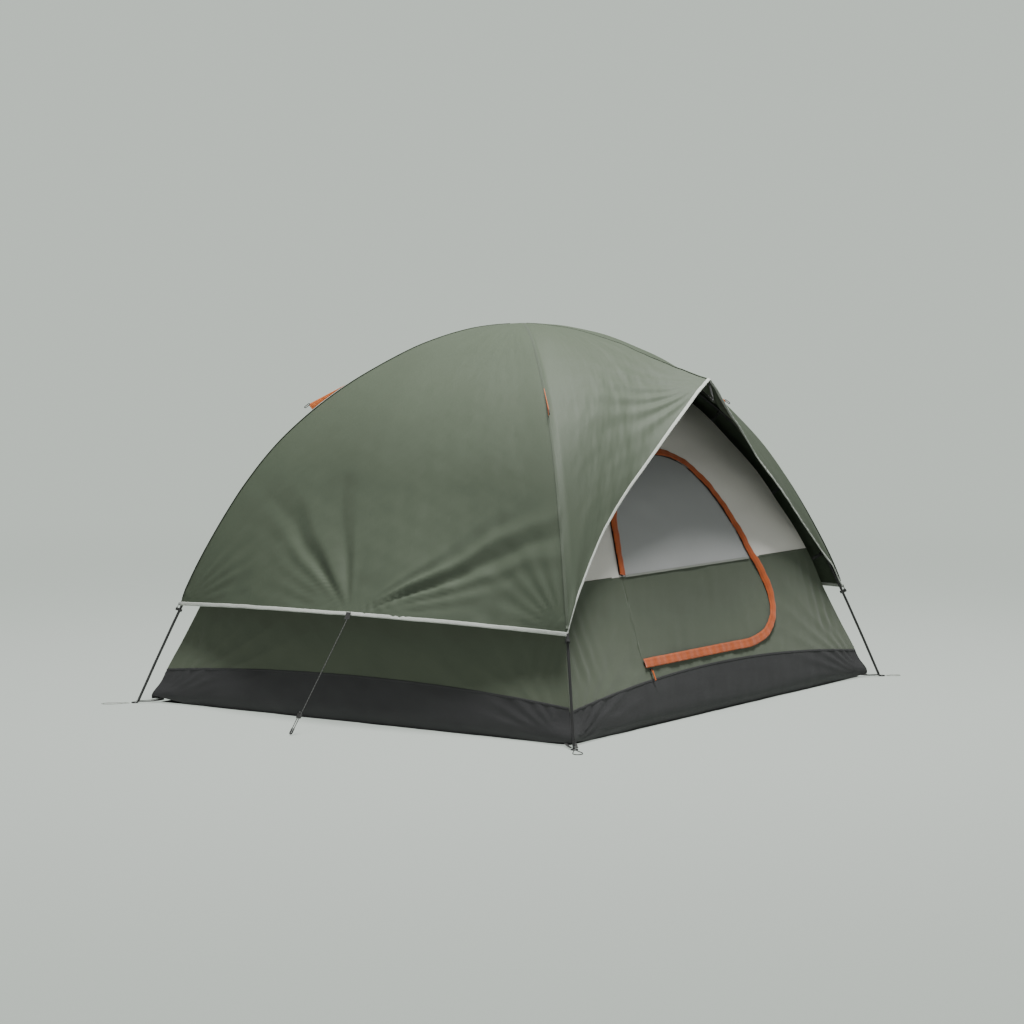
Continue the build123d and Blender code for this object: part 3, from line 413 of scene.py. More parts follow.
def mesh_cloth(name, light, dark, hole_shade, pitch=0.0022):
    """Fine insect mesh: a grid of threads over dark holes; the holes' dark colour is painted shade for the dim inside
    of the tent seen through them.
    """
    m, nt, b = new_mat(name)
    tc = node(nt, "TexCoord")
    sep = node(nt, "SeparateXYZ")
    nt.links.new(tc.outputs["UV"], sep.inputs[0])
    hl = None
    for k in (0, 1):
        fr = math_node(nt, "FRACT", math_node(nt, "DIVIDE", sep.outputs[k], pitch))
        q = math_node(nt, "GREATER_THAN", fr, 0.34)
        hl = q if hl is None else math_node(nt, "MULTIPLY", hl, q)
    n = node(nt, "TexNoise", Scale=2.6, Detail=3.0)
    nt.links.new(tc.outputs["Object"], n.inputs["Vector"])
    # darker towards the top of the window, where the fly shades it
    sepo = node(nt, "SeparateXYZ")
    nt.links.new(tc.outputs["Object"], sepo.inputs[0])
    up = node(nt, "MapRange")
    up.inputs["From Min"].default_value = 0.5
    up.inputs["From Max"].default_value = 0.92
    nt.links.new(sepo.outputs[2], up.inputs["Value"])
    base = mix_color(nt, up.outputs[0], light, dark)
    base = mix_color(nt, math_node(nt, "MULTIPLY", n.outputs["Fac"], 0.3), base, dark)
    # painted shade: the holes get the dark hole colour for the shaded inside seen through the mesh
    nt.links.new(mix_color(nt, math_node(nt, "MULTIPLY", hl, 0.5), base, hole_shade), b.inputs["Base Color"])
    bump = node(nt, "Bump", Strength=0.4, Distance=0.0005)
    bump.invert = True
    nt.links.new(hl, bump.inputs["Height"])
    nt.links.new(bump.outputs["Normal"], b.inputs["Normal"])
    r = math_node(nt, "ADD", math_node(nt, "MULTIPLY", n.outputs["Fac"], 0.15), 0.75)
    nt.links.new(r, b.inputs["Roughness"])
    b.inputs["Sheen Weight"].default_value = 0.1
    return m


FLY = cloth("fly_polyester", (0.060, 0.078, 0.050), (0.049, 0.064, 0.040), rough=0.66, weave=0.22,
            sheen=0.02, blotch=1.6, crumple=0.35)
GREEN = cloth("wall_polyester", (0.083, 0.102, 0.066), (0.068, 0.083, 0.054), rough=0.7, weave=0.3,
              sheen=0.12, blotch=2.2, crumple=0.4)
GREY = cloth("canopy_polyester", (0.86, 0.815, 0.765), (0.80, 0.76, 0.71), rough=0.75, weave=0.3,
             sheen=0.1, blotch=2.0, crumple=0.3)
TUB = cloth("groundsheet_oxford", (0.038, 0.038, 0.039), (0.026, 0.026, 0.027), rough=0.62, thread=0.0022,
            weave=0.5, sheen=0.03, blotch=5.0, crumple=0.9)
MESH = mesh_cloth("window_mesh", (0.52, 0.52, 0.52), (0.32, 0.322, 0.325), (0.09, 0.09, 0.09))
# the storm flap gets painted shade along the inner side of its fold
ORANGE = webbing("orange_tape", (0.56, 0.115, 0.020), (0.42, 0.075, 0.014), (0.68, 0.20, 0.055), fold_shade=0.42)
PIPING = webbing("grey_binding_tape", (0.46, 0.48, 0.44), (0.36, 0.38, 0.34), (0.55, 0.57, 0.53),
                 lines=(0.25,))
BLACKWEB = webbing("black_tape", (0.022, 0.022, 0.020), (0.012, 0.012, 0.011), (0.04, 0.04, 0.04))
ZIPTAPE = webbing("zip_tape", (0.025, 0.025, 0.024), (0.014, 0.014, 0.013), (0.05, 0.05, 0.05), lines=(0.5,))
SEAM = webbing("seam_tape", (0.056, 0.073, 0.047), (0.046, 0.060, 0.038), (0.036, 0.047, 0.030),
               rib=0.0016, lines=(0.2, 0.8))
SEAM_G = webbing("seam_tape_wall", (0.30, 0.31, 0.28), (0.22, 0.23, 0.20), (0.36, 0.37, 0.34),
                 lines=(0.3, 0.7))
ROD = hard("rod_black", (0.030, 0.030, 0.030), (0.012, 0.012, 0.012), 0.38, 0.0, 260.0, 0.12)
METAL = hard("ferrule_metal", (0.060, 0.060, 0.060), (0.028, 0.028, 0.028), 0.38, 0.6, 220.0, 0.1)
PLASTIC = hard("moulded_black", (0.022, 0.022, 0.021), (0.012, 0.012, 0.011), 0.5, 0.0, 420.0, 0.35)
ELASTIC = braid("elastic_black", (0.04, 0.04, 0.04), (0.012, 0.012, 0.012), 0.003)
CORD = braid("guy_cord", (0.075, 0.078, 0.072), (0.016, 0.016, 0.016), 0.009)
LOOPC = braid("loop_cord", (0.42, 0.44, 0.41), (0.26, 0.28, 0.25), 0.005)
LOOPB = braid("loop_cord_black", (0.035, 0.035, 0.034), (0.012, 0.012, 0.012), 0.005)


def set_mat(ob, mat):
    if ob.data.materials:
        for i in range(len(ob.data.materials)):
            ob.data.materials[i] = mat
    else:
        ob.data.materials.append(mat)
    return ob


# ---------------------------------------------------------- the rainfly ----
N_V = 132
EDGE_F = smooth(FLY_EDGE, 10)
RIDGE_F = smooth(FLY_RIDGE, 10)
BROW_F = arc_sample(smooth(FLY_BROW + [(CX, CY, 360.0)], 10), 1601)
BROW_T = np.arctan2(BROW_F[:, 0], BROW_F[:, 1])


def side_section(phi, mid, span, half, pull):
    off = phi - mid
    w = min(max(1.0 - abs(off) / span, 0.0), 1.0)
    stretch = half * 1000 / (DIAG * 1000) / math.cos(off)
    rise = HEM_RISE * math.sin(math.pi * w / 2)
    tab = sorted(FLY_EDGE, key=lambda q: q[1])
    r0 = float(np.interp(360.0 + rise, [q[1] for q in tab], [q[0] for q in tab]))
    line = [(r0, 360.0 + rise)] + [p for p in EDGE_F if p[1] > 362.0 + rise]
    s = arc_sample(line, N_V)
    tan_w = min(math.tan(abs(off)) / math.tan(span), 1.0)
    g = 0.5 * (1 + math.cos(math.pi * tan_w))
    h = np.clip(1.0 - (s[:, 1] - 384.0) / 430.0, 0, None)
    s[:, 0] = s[:, 0] * stretch + pull * h ** 1.6 * g / math.cos(off)
    return s / 1000


def front_section(t):
    u = t / A_FRONT
    i = int(np.argmin(np.abs(BROW_T - t)))
    if 0 < i < len(BROW_T) - 1:
        bx = [np.interp(t, BROW_T, BROW_F[:, k]) for k in range(3)]
    else:
        bx = BROW_F[i]
    rb, zb = math.hypot(bx[0], bx[1]), bx[2]
    ridge, edge = arc_sample(RIDGE_F, N_V), arc_sample(EDGE_F, N_V)
    out = ridge * (1 - u) + edge * u
    dr, dz = rb - out[0, 0], zb - out[0, 1]
    w = (1 - np.arange(N_V) / (N_V - 1)) ** 1.5
    out[:, 0] += dr * w
    out[:, 1] += dz * w
    return out / 1000


phis, rows, kind = [], [], []
for lab, mid, span, half, pull, n in (("left", math.pi, A_SIDE, HX, HEM_PULL, 190),):
    for k in range(n):
        off = span * (2 * k / (n - 1) - 1)
        phis.append(mid + off)
        rows.append(side_section(mid + off, mid, span, half, pull))
        kind.append("L")
n = 130
for k in range(1, 2 * n):
    t = A_FRONT * (1 - k / n)              # positive is the left half
    phis.append(-math.pi / 2 - t)
    rows.append(front_section(abs(t)))
    kind.append("F")
n = 150
for k in range(n):
    off = A_SIDE * (2 * k / (n - 1) - 1)
    phis.append(off)
    rows.append(side_section(off, 0.0, A_SIDE, HX, 0.0))
    kind.append("R")
n = 150
for k in range(1, n - 1):
    off = A_FRONT * (2 * k / (n - 1) - 1)
    phis.append(math.pi / 2 + off)
    rows.append(side_section(math.pi / 2 + off, math.pi / 2, A_FRONT, HY, 0.0))
    kind.append("B")
phis, rows, kind = np.array(phis), np.array(rows), np.array(kind)
NU = len(phis)
P = np.stack([rows[:, :, 0] * np.cos(phis)[:, None], rows[:, :, 0] * np.sin(phis)[:, None],
              rows[:, :, 1]], axis=2)
N = grid_normals(P, close_u=True)
if np.mean(N[:, :, 2]) < 0:
    N = -N
arc = np.concatenate([np.zeros((NU, 1)), np.cumsum(np.linalg.norm(np.diff(P, axis=1), axis=2), axis=1)], axis=1)
X, Y, Z = P[:, :, 0], P[:, :, 1], P[:, :, 2]
D = np.zeros((NU, N_V))

# folds that run up from the guyline's point in the middle of the left hem
isL = (kind == "L")[:, None]
rho = np.hypot(Y, arc)
alp = np.degrees(np.arctan2(Y, arc + 1e-6))        # + towards the rear
alp = alp + 1.6 * fbm(Y, arc, 0.40, 41, 2) * sstep(0.1, 0.5, rho)
FAN_A = [-90, -85, -81, -77, -73, -69, -63.5, -57, -52, -47, -40, -24, -8, 8, 19, 26, 34, 42, 50, 56, 61, 66, 70, 75, 80, 85, 90]
FAN_H = [0, 4, -3, 6, -5, 8, -16, 14, -4, 5, 0, 0, 0, 0, 6, -8, 3, 11, -12, 7, -3, 4, -3, 3, -3, 2, 0]
LEN_A = [-90, -80, -70, -60, -50, -30, 0, 20, 38, 50, 65, 90]
LEN_V = [.34, .44, .66, .80, .62, .30, .24, .44, .60, .58, .44, .40]
fan = (np.interp(alp - 0.7, FAN_A, FAN_H) + 2 * np.interp(alp, FAN_A, FAN_H) + np.interp(alp + 0.7, FAN_A, FAN_H)) / 4
f = np.minimum(rho / 0.26, 1.0) * np.exp(-(rho / np.interp(alp, LEN_A, LEN_V)) ** 2.6)
D += np.where(isL, 1e-3 * fan * f, 0)

# folds that run back from the peak of the brow, on both front panels
B0 = np.array([0.0, -0.832, 1.200])
isF = (kind == "F")[:, None]
q = P - B0
dist = np.linalg.norm(q, axis=2)
side = np.abs(X)
down = np.degrees(np.arccos(np.clip((q[:, :, 1] * 0.986 + q[:, :, 2] * 0.167) / np.maximum(dist, 1e-6), -1, 1)))  # 0 along the ridge
PEAK_A = [0, 14, 22, 29, 36, 43, 50, 56, 61, 66, 71, 76, 80.5, 84.5, 90, 180]
PEAK_H = [0, 0, 1.5, -1.5, 2.5, -2.5, 4, -3.5, 5, -5, 6.5, -5, 5, -3, 0, 0]
down = down + 0.8 * fbm(side, Y, 0.40, 43, 2) * sstep(0.05, 0.4, dist)
fan = (np.interp(down - 1.2, PEAK_A, PEAK_H) + 2 * np.interp(down, PEAK_A, PEAK_H) + np.interp(down + 1.2, PEAK_A, PEAK_H)) / 4
f = np.minimum(dist / 0.22, 1.0) * sstep(0.02, 0.10, dist) * np.exp(-(dist / 0.44) ** 2.4)
D += np.where(isF, 1e-3 * fan * f, 0)
# small puckers along the brow tape, on the front-left and front-right panels
run = np.abs(X[:, :1]) * 1.6
D += np.where(isF, 0.0005 * np.exp(-(arc / 0.05) ** 2) * np.sin(run * 2 * math.pi / 0.085) * sstep(0.0, 0.03, arc), 0)

# short folds where the corners are pulled down to the poles
for sx, sy in ((-1, -1), (1, -1), (1, 1), (-1, 1)):
    c = np.array([sx * HX * 1.314 / DIAG, sy * HY * 1.314 / DIAG, 0.360])
    q = P - c
    dist = np.linalg.norm(q, axis=2)
    th = np.degrees(np.arctan2(np.hypot(q[:, :, 0], q[:, :, 1]), q[:, :, 2]))
    for a0, amp in ((24, 4.0), (34, 6.5), (44, 8.0), (54, 7.0), (64, 6.0), (75, 4.0)):
        wd = 3.2
        f = sstep(0.015, 0.07, dist) * np.exp(-(dist / 0.30) ** 2)
        D += amp * 1e-3 * f * np.exp(-((th - a0) / wd) ** 2)

# slow sag and fine crumple over the whole cloth
u_m = np.concatenate([[0], np.cumsum(np.linalg.norm(np.diff(P[:, 40, :], axis=0), axis=1))])[:, None] + 0 * arc
corner_w = np.ones((NU, 1))
cphi = np.array([math.pi - A_SIDE, math.pi + A_SIDE, -A_SIDE, A_SIDE])
for c in cphi:
    dphi = np.abs((phis - c + math.pi) % (2 * math.pi) - math.pi)[:, None]
    corner_w = corner_w * sstep(0.0, 0.16, dphi)
low = np.exp(-(arc / 0.55) ** 2)
D += corner_w * (0.0030 * fbm(u_m, arc, 0.42, 3) * (0.3 + 0.7 * low) + 0.0009 * fbm(u_m, arc, 0.11, 4, 2) * (0.25 + low)
                 + np.where(isF, 0.0002, 0.0007) * low * np.sin(2 * math.pi * (u_m / 0.13 + 0.25 * fbm(u_m, arc, .3, 8))))
D -= corner_w * 0.004 * np.sin(np.clip(arc / 1.4, 0, 1) * math.pi)     # a little slack between the poles
D *= np.minimum(1.0, sstep(0, 0.18, arc[:, -1:] - arc) + 0.0)
P2 = P + N * (D - 0.0010)[:, :, None]
uv = np.stack([u_m, arc], axis=2).reshape(-1, 2)
verts = list(P2.reshape(-1, 3))
faces = grid_faces(NU, N_V, close_u=True)
top = len(verts)
fly = mesh_object("rainfly_cloth", verts, faces, uv)
set_mat(fly, FLY)
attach(fly, "rainfly")
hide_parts("fly_left", "fly_right", "fly_rear", "fly_front_left", "fly_front_right")

# folded tape all round the free edge, hem and brow in one run
N2 = grid_normals(P2, close_u=True)
if np.mean(N2[:, :, 2]) < 0:
    N2 = -N2
e0, e1 = P2[:, 0], P2[:, 1]
up = P2[:, 2] - P2[:, 0]
up /= np.linalg.norm(up, axis=1)[:, None]
nn = N2[:, 1]
nn = nn - up * np.sum(nn * up, axis=1)[:, None]
nn /= np.linalg.norm(nn, axis=1)[:, None]
prof = [(0.0138, 0.0006), (0.0132, 0.0017), (0.010, 0.0021), (0.0060, 0.0021), (0.0025, 0.0023), (0.0002, 0.0019),
        (-0.0010, 0.0), (0.0002, -0.0019), (0.0040, -0.0020), (0.0095, -0.0019), (0.0132, -0.0015), (0.0138, -0.0006)]
prof_v = [0.98, 0.93, 0.75, 0.45, 0.2, 0.06, 0.0, 0.06, 0.3, 0.7, 0.93, 0.98]
bv, bu = [], []
eu = np.concatenate([[0], np.cumsum(np.linalg.norm(np.diff(e0, axis=0), axis=1))])
for i in range(NU):
    pucker = 0.00045 * math.sin(eu[i] * 2 * math.pi / 0.031) + 0.0003 * math.sin(eu[i] * 2 * math.pi / 0.0127)
    for (a, b_), v_ in zip(prof, prof_v):
        bv.append(e0[i] + up[i] * a + nn[i] * (b_ + pucker * (1 if b_ > 0 else -0.6)))
        bu.append((eu[i], v_))
m_ = len(prof)
bf = []
for i in range(NU):
    i2 = (i + 1) % NU
    for j in range(m_):
        j2 = (j + 1) % m_
        bf.append((i * m_ + j, i * m_ + j2, i2 * m_ + j2, i2 * m_ + j))
edge_tape = mesh_object("rainfly_edge_tape", bv, bf, bu)
set_mat(edge_tape, PIPING)
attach(edge_tape, "rainfly")
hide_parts("hem_binding", "brow_binding")

# felled seams over the poles and along the ridge
seam_phi = {"fl": math.pi + A_SIDE, "fr": -A_SIDE, "rr": A_SIDE, "rl": math.pi - A_SIDE, "ridge": -math.pi / 2}
for lab, ph in seam_phi.items():
    dphi = np.abs((phis - ph + math.pi) % (2 * math.pi) - math.pi)
    i = int(np.argmin(dphi))
    nrm = N2[i] * 0.5 + 0.25 * N2[(i + 1) % NU] + 0.25 * N2[i - 1]
    nrm /= np.linalg.norm(nrm, axis=1)[:, None]
    a, bq = 2, N_V - 3
    line = P2[i, a:bq]
    tang = np.gradient(line, axis=0)
    tang /= np.linalg.norm(tang, axis=1)[:, None]
    acr = np.cross(tang, nrm[a:bq])
    acr /= np.linalg.norm(acr, axis=1)[:, None]
    sm = ribbon("rainfly_seam_" + lab, line + nrm[a:bq] * 0.0004, acr, nrm[a:bq], 0.010 if lab != "ridge" else 0.008,
                0.0010, crown=0.0006)
    set_mat(sm, SEAM)
    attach(sm, "rainfly")


# -------------------------------------------------------- inner tent walls --
def wall_point(side, u, z, d):
    """Point on an inner wall; u runs sideways, d is out from the wall."""
    r = inner_r(z)
    h = 0.004
    slope = (inner_r(z + h) - inner_r(z - h)) / (2 * h)      # dr/dz, negative
    half = HY if side in ("front", "rear") else HX
    k = half / DIAG
    nz = -slope * k
    nl = np.hypot(1.0, nz)
    out = k * r + d / nl
    zz = z + d * nz / nl
    if side == "front":
        return np.stack([u, -out, zz], axis=-1)
    if side == "rear":
        return np.stack([u, out, zz], axis=-1)
    if side == "left":
        return np.stack([-out, u, zz], axis=-1)
    return np.stack([out, u, zz], axis=-1)


def wall_half(side, z):
    return (HX if side in ("front", "rear") else HY) / DIAG * inner_r(z)


def tub_top(side, u):
    lo, hi = TUB_FRONT if side in ("front", "rear") else TUB_SIDE
    return hi - (hi - lo) * (u / 1.15) ** 2


SEED = {"front": 21, "rear": 22, "left": 23, "right": 24}


def wall_wrinkle(side, u, z):
    """Distance out of the wall's face for folds and slack."""
    w = wall_half(side, 0.05)
    c = np.clip((w - np.abs(u)) / w, 0, 1)                # 0 at the corner
    edge = np.clip((wall_half(side, z) - np.abs(u)) / 0.08, 0, 1)
    sd = SEED[side]
    d = 0.0016 * fbm(u, z, 0.36, sd) + 0.0006 * fbm(u, z, 0.10, sd + 5, 2)
    # soft upright folds near the corners under the hem
    f = np.exp(-((np.abs(u) - (w - 0.13)) / 0.12) ** 2) * sstep(0.15, 0.25, z) * (1 - sstep(0.42, 0.6, z))
    d = d + 0.0028 * f * np.sin((np.abs(u)) * 2 * math.pi / 0.062 + 1.2 * np.sin(z * 9))
    # folds that fan out of the staked corners
    for s_ in (-1, 1):
        dx = w + 0.01 - s_ * u
        ang = np.degrees(np.arctan2(z + 0.01, np.maximum(dx, 1e-4)))
        rr = np.hypot(dx, z)
        for a0, amp, ln in ((8, 5.0, .36), (15, 7.0, .44), (23, 7.5, .50), (32, 7.0, .46), (42, 6.0, .40), (53, 5.0, .34), (66, 3.5, .26)):
            d = d + amp * 1e-3 * sstep(0.02, 0.10, rr) * np.exp(-(rr / ln) ** 2) * np.exp(-np.abs((ang - a0 - 2 * s_) / 2.8) ** 1.4)
    d = d * edge
    d = d - 0.004 * edge * np.sin(np.clip(z / 1.2, 0, 1) * math.pi) * (1 - (u / (w + 1e-6)) ** 2).clip(0, 1)
    return np.clip(d, -0.010, 0.0075) - 0.0010


BODY_OF = "tent"
sheets = []


def wall_grid(name, side, zlo, zhi, nu, nv, mat, node_name):
    s = np.linspace(-1, 1, nu)[:, None]
    t = np.linspace(0, 1, nv)[None, :]
    # sideways place depends on height and the zone's edges on the sideways place
    u = s * wall_half(side, 0.1)
    for _ in range(4):
        lo = zlo(u) if callable(zlo) else zlo + 0 * u
        hi = zhi(u) if callable(zhi) else zhi + 0 * u
        z = lo + (hi - lo) * t
        u = s * (wall_half(side, z) - 0.0006)
    d = wall_wrinkle(side, u, z)
    if name.startswith("tub"):
        w = wall_half(side, 0.0)
        # the lower edge rolls in, and lifts off the ground at the corners
        corner = np.exp(-((w - np.abs(u)) / 0.10) ** 2)
        lift = {"front": (0.012, 0.010), "rear": (0.012, 0.012), "left": (0.010, 0.022), "right": (0.012, 0.012)}[side]
        lf = np.where(u < 0, lift[0], lift[1]) * corner
        z = z + lf * (1 - t) ** 2
        d = d - 0.010 * np.exp(-((z - lf) / 0.016) ** 2) * (1 - corner)
        pull = np.exp(-((w - np.abs(u)) / 0.085) ** 2) * np.exp(-((z - 0.022) / 0.040) ** 2)
        d = d + (0.020 if side in ("front", "rear") else 0.023) * pull
        pull_u = (0.023 if side in ("front", "rear") else 0.020) * pull * np.sign(u)
        d = d + 0.004 * np.exp(-((z - 0.045) / 0.03) ** 2) * (1 - corner)
        d = np.minimum(d, 0.006 + 0.022 * pull)
        u = u + pull_u
    pts = wall_point(side, u, z, d)
    pts[:, :, 2] = np.maximum(pts[:, :, 2], 0.0006)
    uvw = np.stack([u + 0 * z, z * 1.1], axis=2).reshape(-1, 2)
    flip = side in ("rear", "left")
    ob = mesh_object(name, pts.reshape(-1, 3), grid_faces(nu, nv, flip=flip), uvw)
    set_mat(ob, mat)
    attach(ob, "tent")
    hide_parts(node_name)
    sheets.append(ob)
    return ob


for side in ("front", "rear", "left", "right"):
    wall_grid("tub_cloth_" + side, side, 0.0007, lambda u, s=side: tub_top(s, u), 150, 22, TUB,
              "tub_" + side)
for side in ("rear", "left", "right"):
    wall_grid("wall_cloth_" + side, side, lambda u, s=side: tub_top(s, u) + 0.0002, SEAM_GREEN, 150, 42, GREEN,
              "wall_" + side)
    wall_grid("canopy_cloth_" + side, side, SEAM_GREEN + 0.0004, 1.318, 110, 84, GREY,
              "canopy_" + side)

# front wall and door, cut along the zip
DOOR = arc_sample(np.array(smooth(DOOR_ZIP, 6)) / 1000, 260)


def door_loop(d):
    line = offset_line(DOOR, d)
    return np.vstack([line, [[line[-1, 0] - 0.1 * d, line[-1, 1]]], [[DOOR[0, 0] - 0.1 * d, line[0, 1]]]])


def inside(poly, pts):
    x, y = pts[:, 0], pts[:, 1]
    res = np.zeros(len(pts), bool)
    px, py = poly[:, 0], poly[:, 1]
    j = len(poly) - 1
    for i in range(len(poly)):
        c = (py[i] > y) != (py[j] > y)
        with np.errstate(divide="ignore", invalid="ignore"):
            xi = (px[j] - px[i]) * (y - py[i]) / (py[j] - py[i]) + px[i]
        res ^= c & (x < xi)
        j = i
    return res


def cut_piece(name, loops, lines, keep, box, step, mat, body, nodes_, lift=0.0):
    """Cloth piece of the front wall with a curved outline."""
    pts, edges = [], []
    for lp in loops:
        k = len(pts)
        pts += [tuple(p) for p in lp]
        edges += [(k + i, k + (i + 1) % len(lp)) for i in range(len(lp))]
    for ln in lines:
        k = len(pts)
        pts += [tuple(p) for p in ln]
        edges += [(k + i, k + i + 1) for i in range(len(ln) - 1)]
    cons = np.array(pts)
    gx, gz = np.meshgrid(np.arange(box[0], box[2], step), np.arange(box[1], box[3], step))
    g = np.stack([gx.ravel(), gz.ravel()], axis=1)
    g[:, 0] += 0.5 * step * (np.round(g[:, 1] / step).astype(int) % 2)
    g = g[keep(g)]
    near = np.ones(len(g), bool)
    for i in range(0, len(g), 400):
        dd = np.linalg.norm(g[i:i + 400, None, :] - cons[None], axis=2).min(axis=1)
        near[i:i + 400] = dd > 0.55 * step
    pts += [tuple(p) for p in g[near]]
    res = delaunay_2d_cdt([Vector(p) for p in pts], edges, [], 0, 1e-6)
    v2 = np.array([tuple(p) for p in res[0]])
    tri = np.array([f for f in res[2] if len(f) == 3])
    cen = v2[tri].mean(axis=1)
    tri = tri[keep(cen)]
    used = np.unique(tri)
    remap = -np.ones(len(v2), int)
    remap[used] = np.arange(len(used))
    v2 = v2[used]
    tri = remap[tri]
    d = wall_wrinkle("front", v2[:, 0], v2[:, 1]) + lift
    p3 = wall_point("front", v2[:, 0], v2[:, 1], d)
    ob = mesh_object(name, p3, tri, np.stack([v2[:, 0], v2[:, 1] * 1.1], axis=1))
    ob.data.update()
    ns = np.array([p.normal[:] for p in ob.data.polygons])
    if ns[:, 1].mean() > 0:
        ob.data.flip_normals()
    set_mat(ob, mat)
    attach(ob, body)
    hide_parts(*nodes_)
    sheets.append(ob)
    return ob


out_loop, in_loop = door_loop(0.001), door_loop(-0.001)
us = np.linspace(-1.06, 1.06, 180)
tub_line = np.stack([us, tub_top("front", us) + 0.0002], axis=1)
seam_line = np.stack([us, 0 * us + SEAM_GREEN], axis=1)
zs = np.linspace(0.09, 1.319, 180)
sides = [np.stack([s_ * (wall_half("front", zs) - 0.0006), zs], axis=1) for s_ in (-1, 1)]


def in_wall(p):
    return np.abs(p[:, 0]) < wall_half("front", p[:, 1]) - 0.0007


cut_piece("wall_cloth_front", [out_loop], [tub_line, seam_line] + sides,
          lambda p: in_wall(p) & (p[:, 1] > tub_top("front", p[:, 0]) + 0.0002) & (p[:, 1] < SEAM_GREEN) & ~inside(out_loop, p),
          (-1.05, 0.09, 1.05, SEAM_GREEN), 0.012, GREEN, "tent", ["wall_front"])
cut_piece("canopy_cloth_front", [out_loop], [seam_line + [0, 0.0004], np.stack([us * 0.05, 0 * us + 1.318], axis=1)] + sides,
          lambda p: in_wall(p) & (p[:, 1] > SEAM_GREEN + 0.0004) & (p[:, 1] < 1.318) & ~inside(out_loop, p),
          (-0.9, SEAM_GREEN, 0.9, 1.318), 0.014, GREY, "tent", ["canopy_front"])
cut_piece("door_cloth", [in_loop], [seam_line],
          lambda p: inside(in_loop, p) & (p[:, 1] < SEAM_GREEN),
          (-0.52, 0.2, 0.52, SEAM_GREEN), 0.012, GREEN, "door", ["door_panel"])
cut_piece("door_mesh_window", [in_loop], [seam_line + [0, 0.0004]],
          lambda p: inside(in_loop, p) & (p[:, 1] > SEAM_GREEN + 0.0004),
          (-0.52, SEAM_GREEN, 0.52, 0.94), 0.012, MESH, "door", ["door_window"])

# floor cloth
s = np.linspace(-1, 1, 90)
fx, fy = np.meshgrid(s * (HX - 0.004), s * (HY - 0.004), indexing="ij")
fz = 0.0013 + 0.0009 * fbm(fx, fy, 0.33, 31) + 0.0003 * fbm(fx, fy, 0.08, 32, 2)
floor_cloth = mesh_object("groundsheet_floor", np.stack([fx, fy, np.clip(fz, 0.0003, 0.0024)], axis=2).reshape(-1, 3),
                          grid_faces(90, 90), np.stack([fx, fy], axis=2).reshape(-1, 2))
set_mat(floor_cloth, TUB)
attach(floor_cloth, "tent")
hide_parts("tub_floor")
sheets.append(floor_cloth)


# ------------------------------------------------------ tapes on the front --
def line_on_front(uz, lift):
    """Points, across and outward directions for a tape laid on the wall."""
    uz = np.asarray(uz)
    d = wall_wrinkle("front", uz[:, 0], uz[:, 1])
    p = wall_point("front", uz[:, 0], uz[:, 1], np.maximum(d, -0.0022) + lift)
    r1, r2 = inner_r(uz[:, 1] + .004), inner_r(uz[:, 1] - .004)
    sl = (r1 - r2) / .008 * HY / DIAG
    nrm = np.stack([0 * sl, -np.ones_like(sl), -sl], axis=1)
    nrm /= np.linalg.norm(nrm, axis=1)[:, None]
    t = np.gradient(p, axis=0)
    t /= np.linalg.norm(t, axis=1)[:, None]
    a = np.cross(nrm, t)
    a /= np.linalg.norm(a, axis=1)[:, None]
    return p, a, nrm


fine = arc_sample(np.array(smooth(DOOR_ZIP, 6)) / 1000, 620)
p, a, nr = line_on_front(fine, 0.0050)
# the flap stands up and twists a little along the right-hand curve
sarc = np.linspace(0, 1, len(fine))
tw = 0.30 * np.exp(-((sarc - 0.555) / 0.06) ** 2) - 0.14 * np.exp(-((sarc - 0.30) / 0.08) ** 2) + 0.05 * np.sin(sarc * 70)
a2 = a * np.cos(tw)[:, None] + nr * np.sin(tw)[:, None]
n2 = nr * np.cos(tw)[:, None] - a * np.sin(tw)[:, None]
wav = 0.0010 * np.sin(sarc * 2 * math.pi * 23) + 0.0007 * np.sin(sarc * 2 * math.pi * 57)
flap = ribbon("door_flap_tape", p + nr * (wav + 0.0010)[:, None], a2, n2, 0.0335, 0.0014, crown=0.0014)
set_mat(flap, ORANGE)
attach(flap, "door")
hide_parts("storm_flap")

for nm, off, bd, nd in (("zip_tape_outer", 0.0067, "tent", "zip_tape_frame"), ("zip_tape_inner", -0.0067, "door", "zip_tape_door")):
    p, a, nr = line_on_front(offset_line(fine, off), -0.0022)
    tp = ribbon(nm, p, a, nr, 0.0125, 0.0012)
    set_mat(tp, ZIPTAPE)
    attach(tp, bd)
    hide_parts(nd)
    # zip coil: small rounded teeth along the tape's edge
    cl = arc_sample(offset_line(fine, math.copysign(0.0010, off)), 1150)
    if off < 0:
        cl = cl + 0.5 * np.gradient(cl, axis=0)
    p, a, nr = line_on_front(cl, -0.0012)
    t = np.cross(a, nr)
    base = np.array([(-1, -1, -1), (1, -1, -1), (1, 1, -1), (-1, 1, -1), (-.7, -.7, 1), (.7, -.7, 1), (.7, .7, 1), (-.7, .7, 1)])
    fb = [(0, 3, 2, 1), (4, 5, 6, 7), (0, 1, 5, 4), (1, 2, 6, 5), (2, 3, 7, 6), (3, 0, 4, 7)]
    vs, fs = [], []
    for i in range(len(cl)):
        k = len(vs)
        for b_ in base:
            vs.append(p[i] + a[i] * b_[0] * 0.0010 + t[i] * b_[1] * 0.0007 + nr[i] * b_[2] * 0.0006)
        fs += [tuple(k + q for q in f) for f in fb]
    teeth = mesh_object(nm + "_teeth", vs, fs, [(v[0], v[2]) for v in vs], smooth_shade=False)
    set_mat(teeth, PLASTIC)
    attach(teeth, bd)

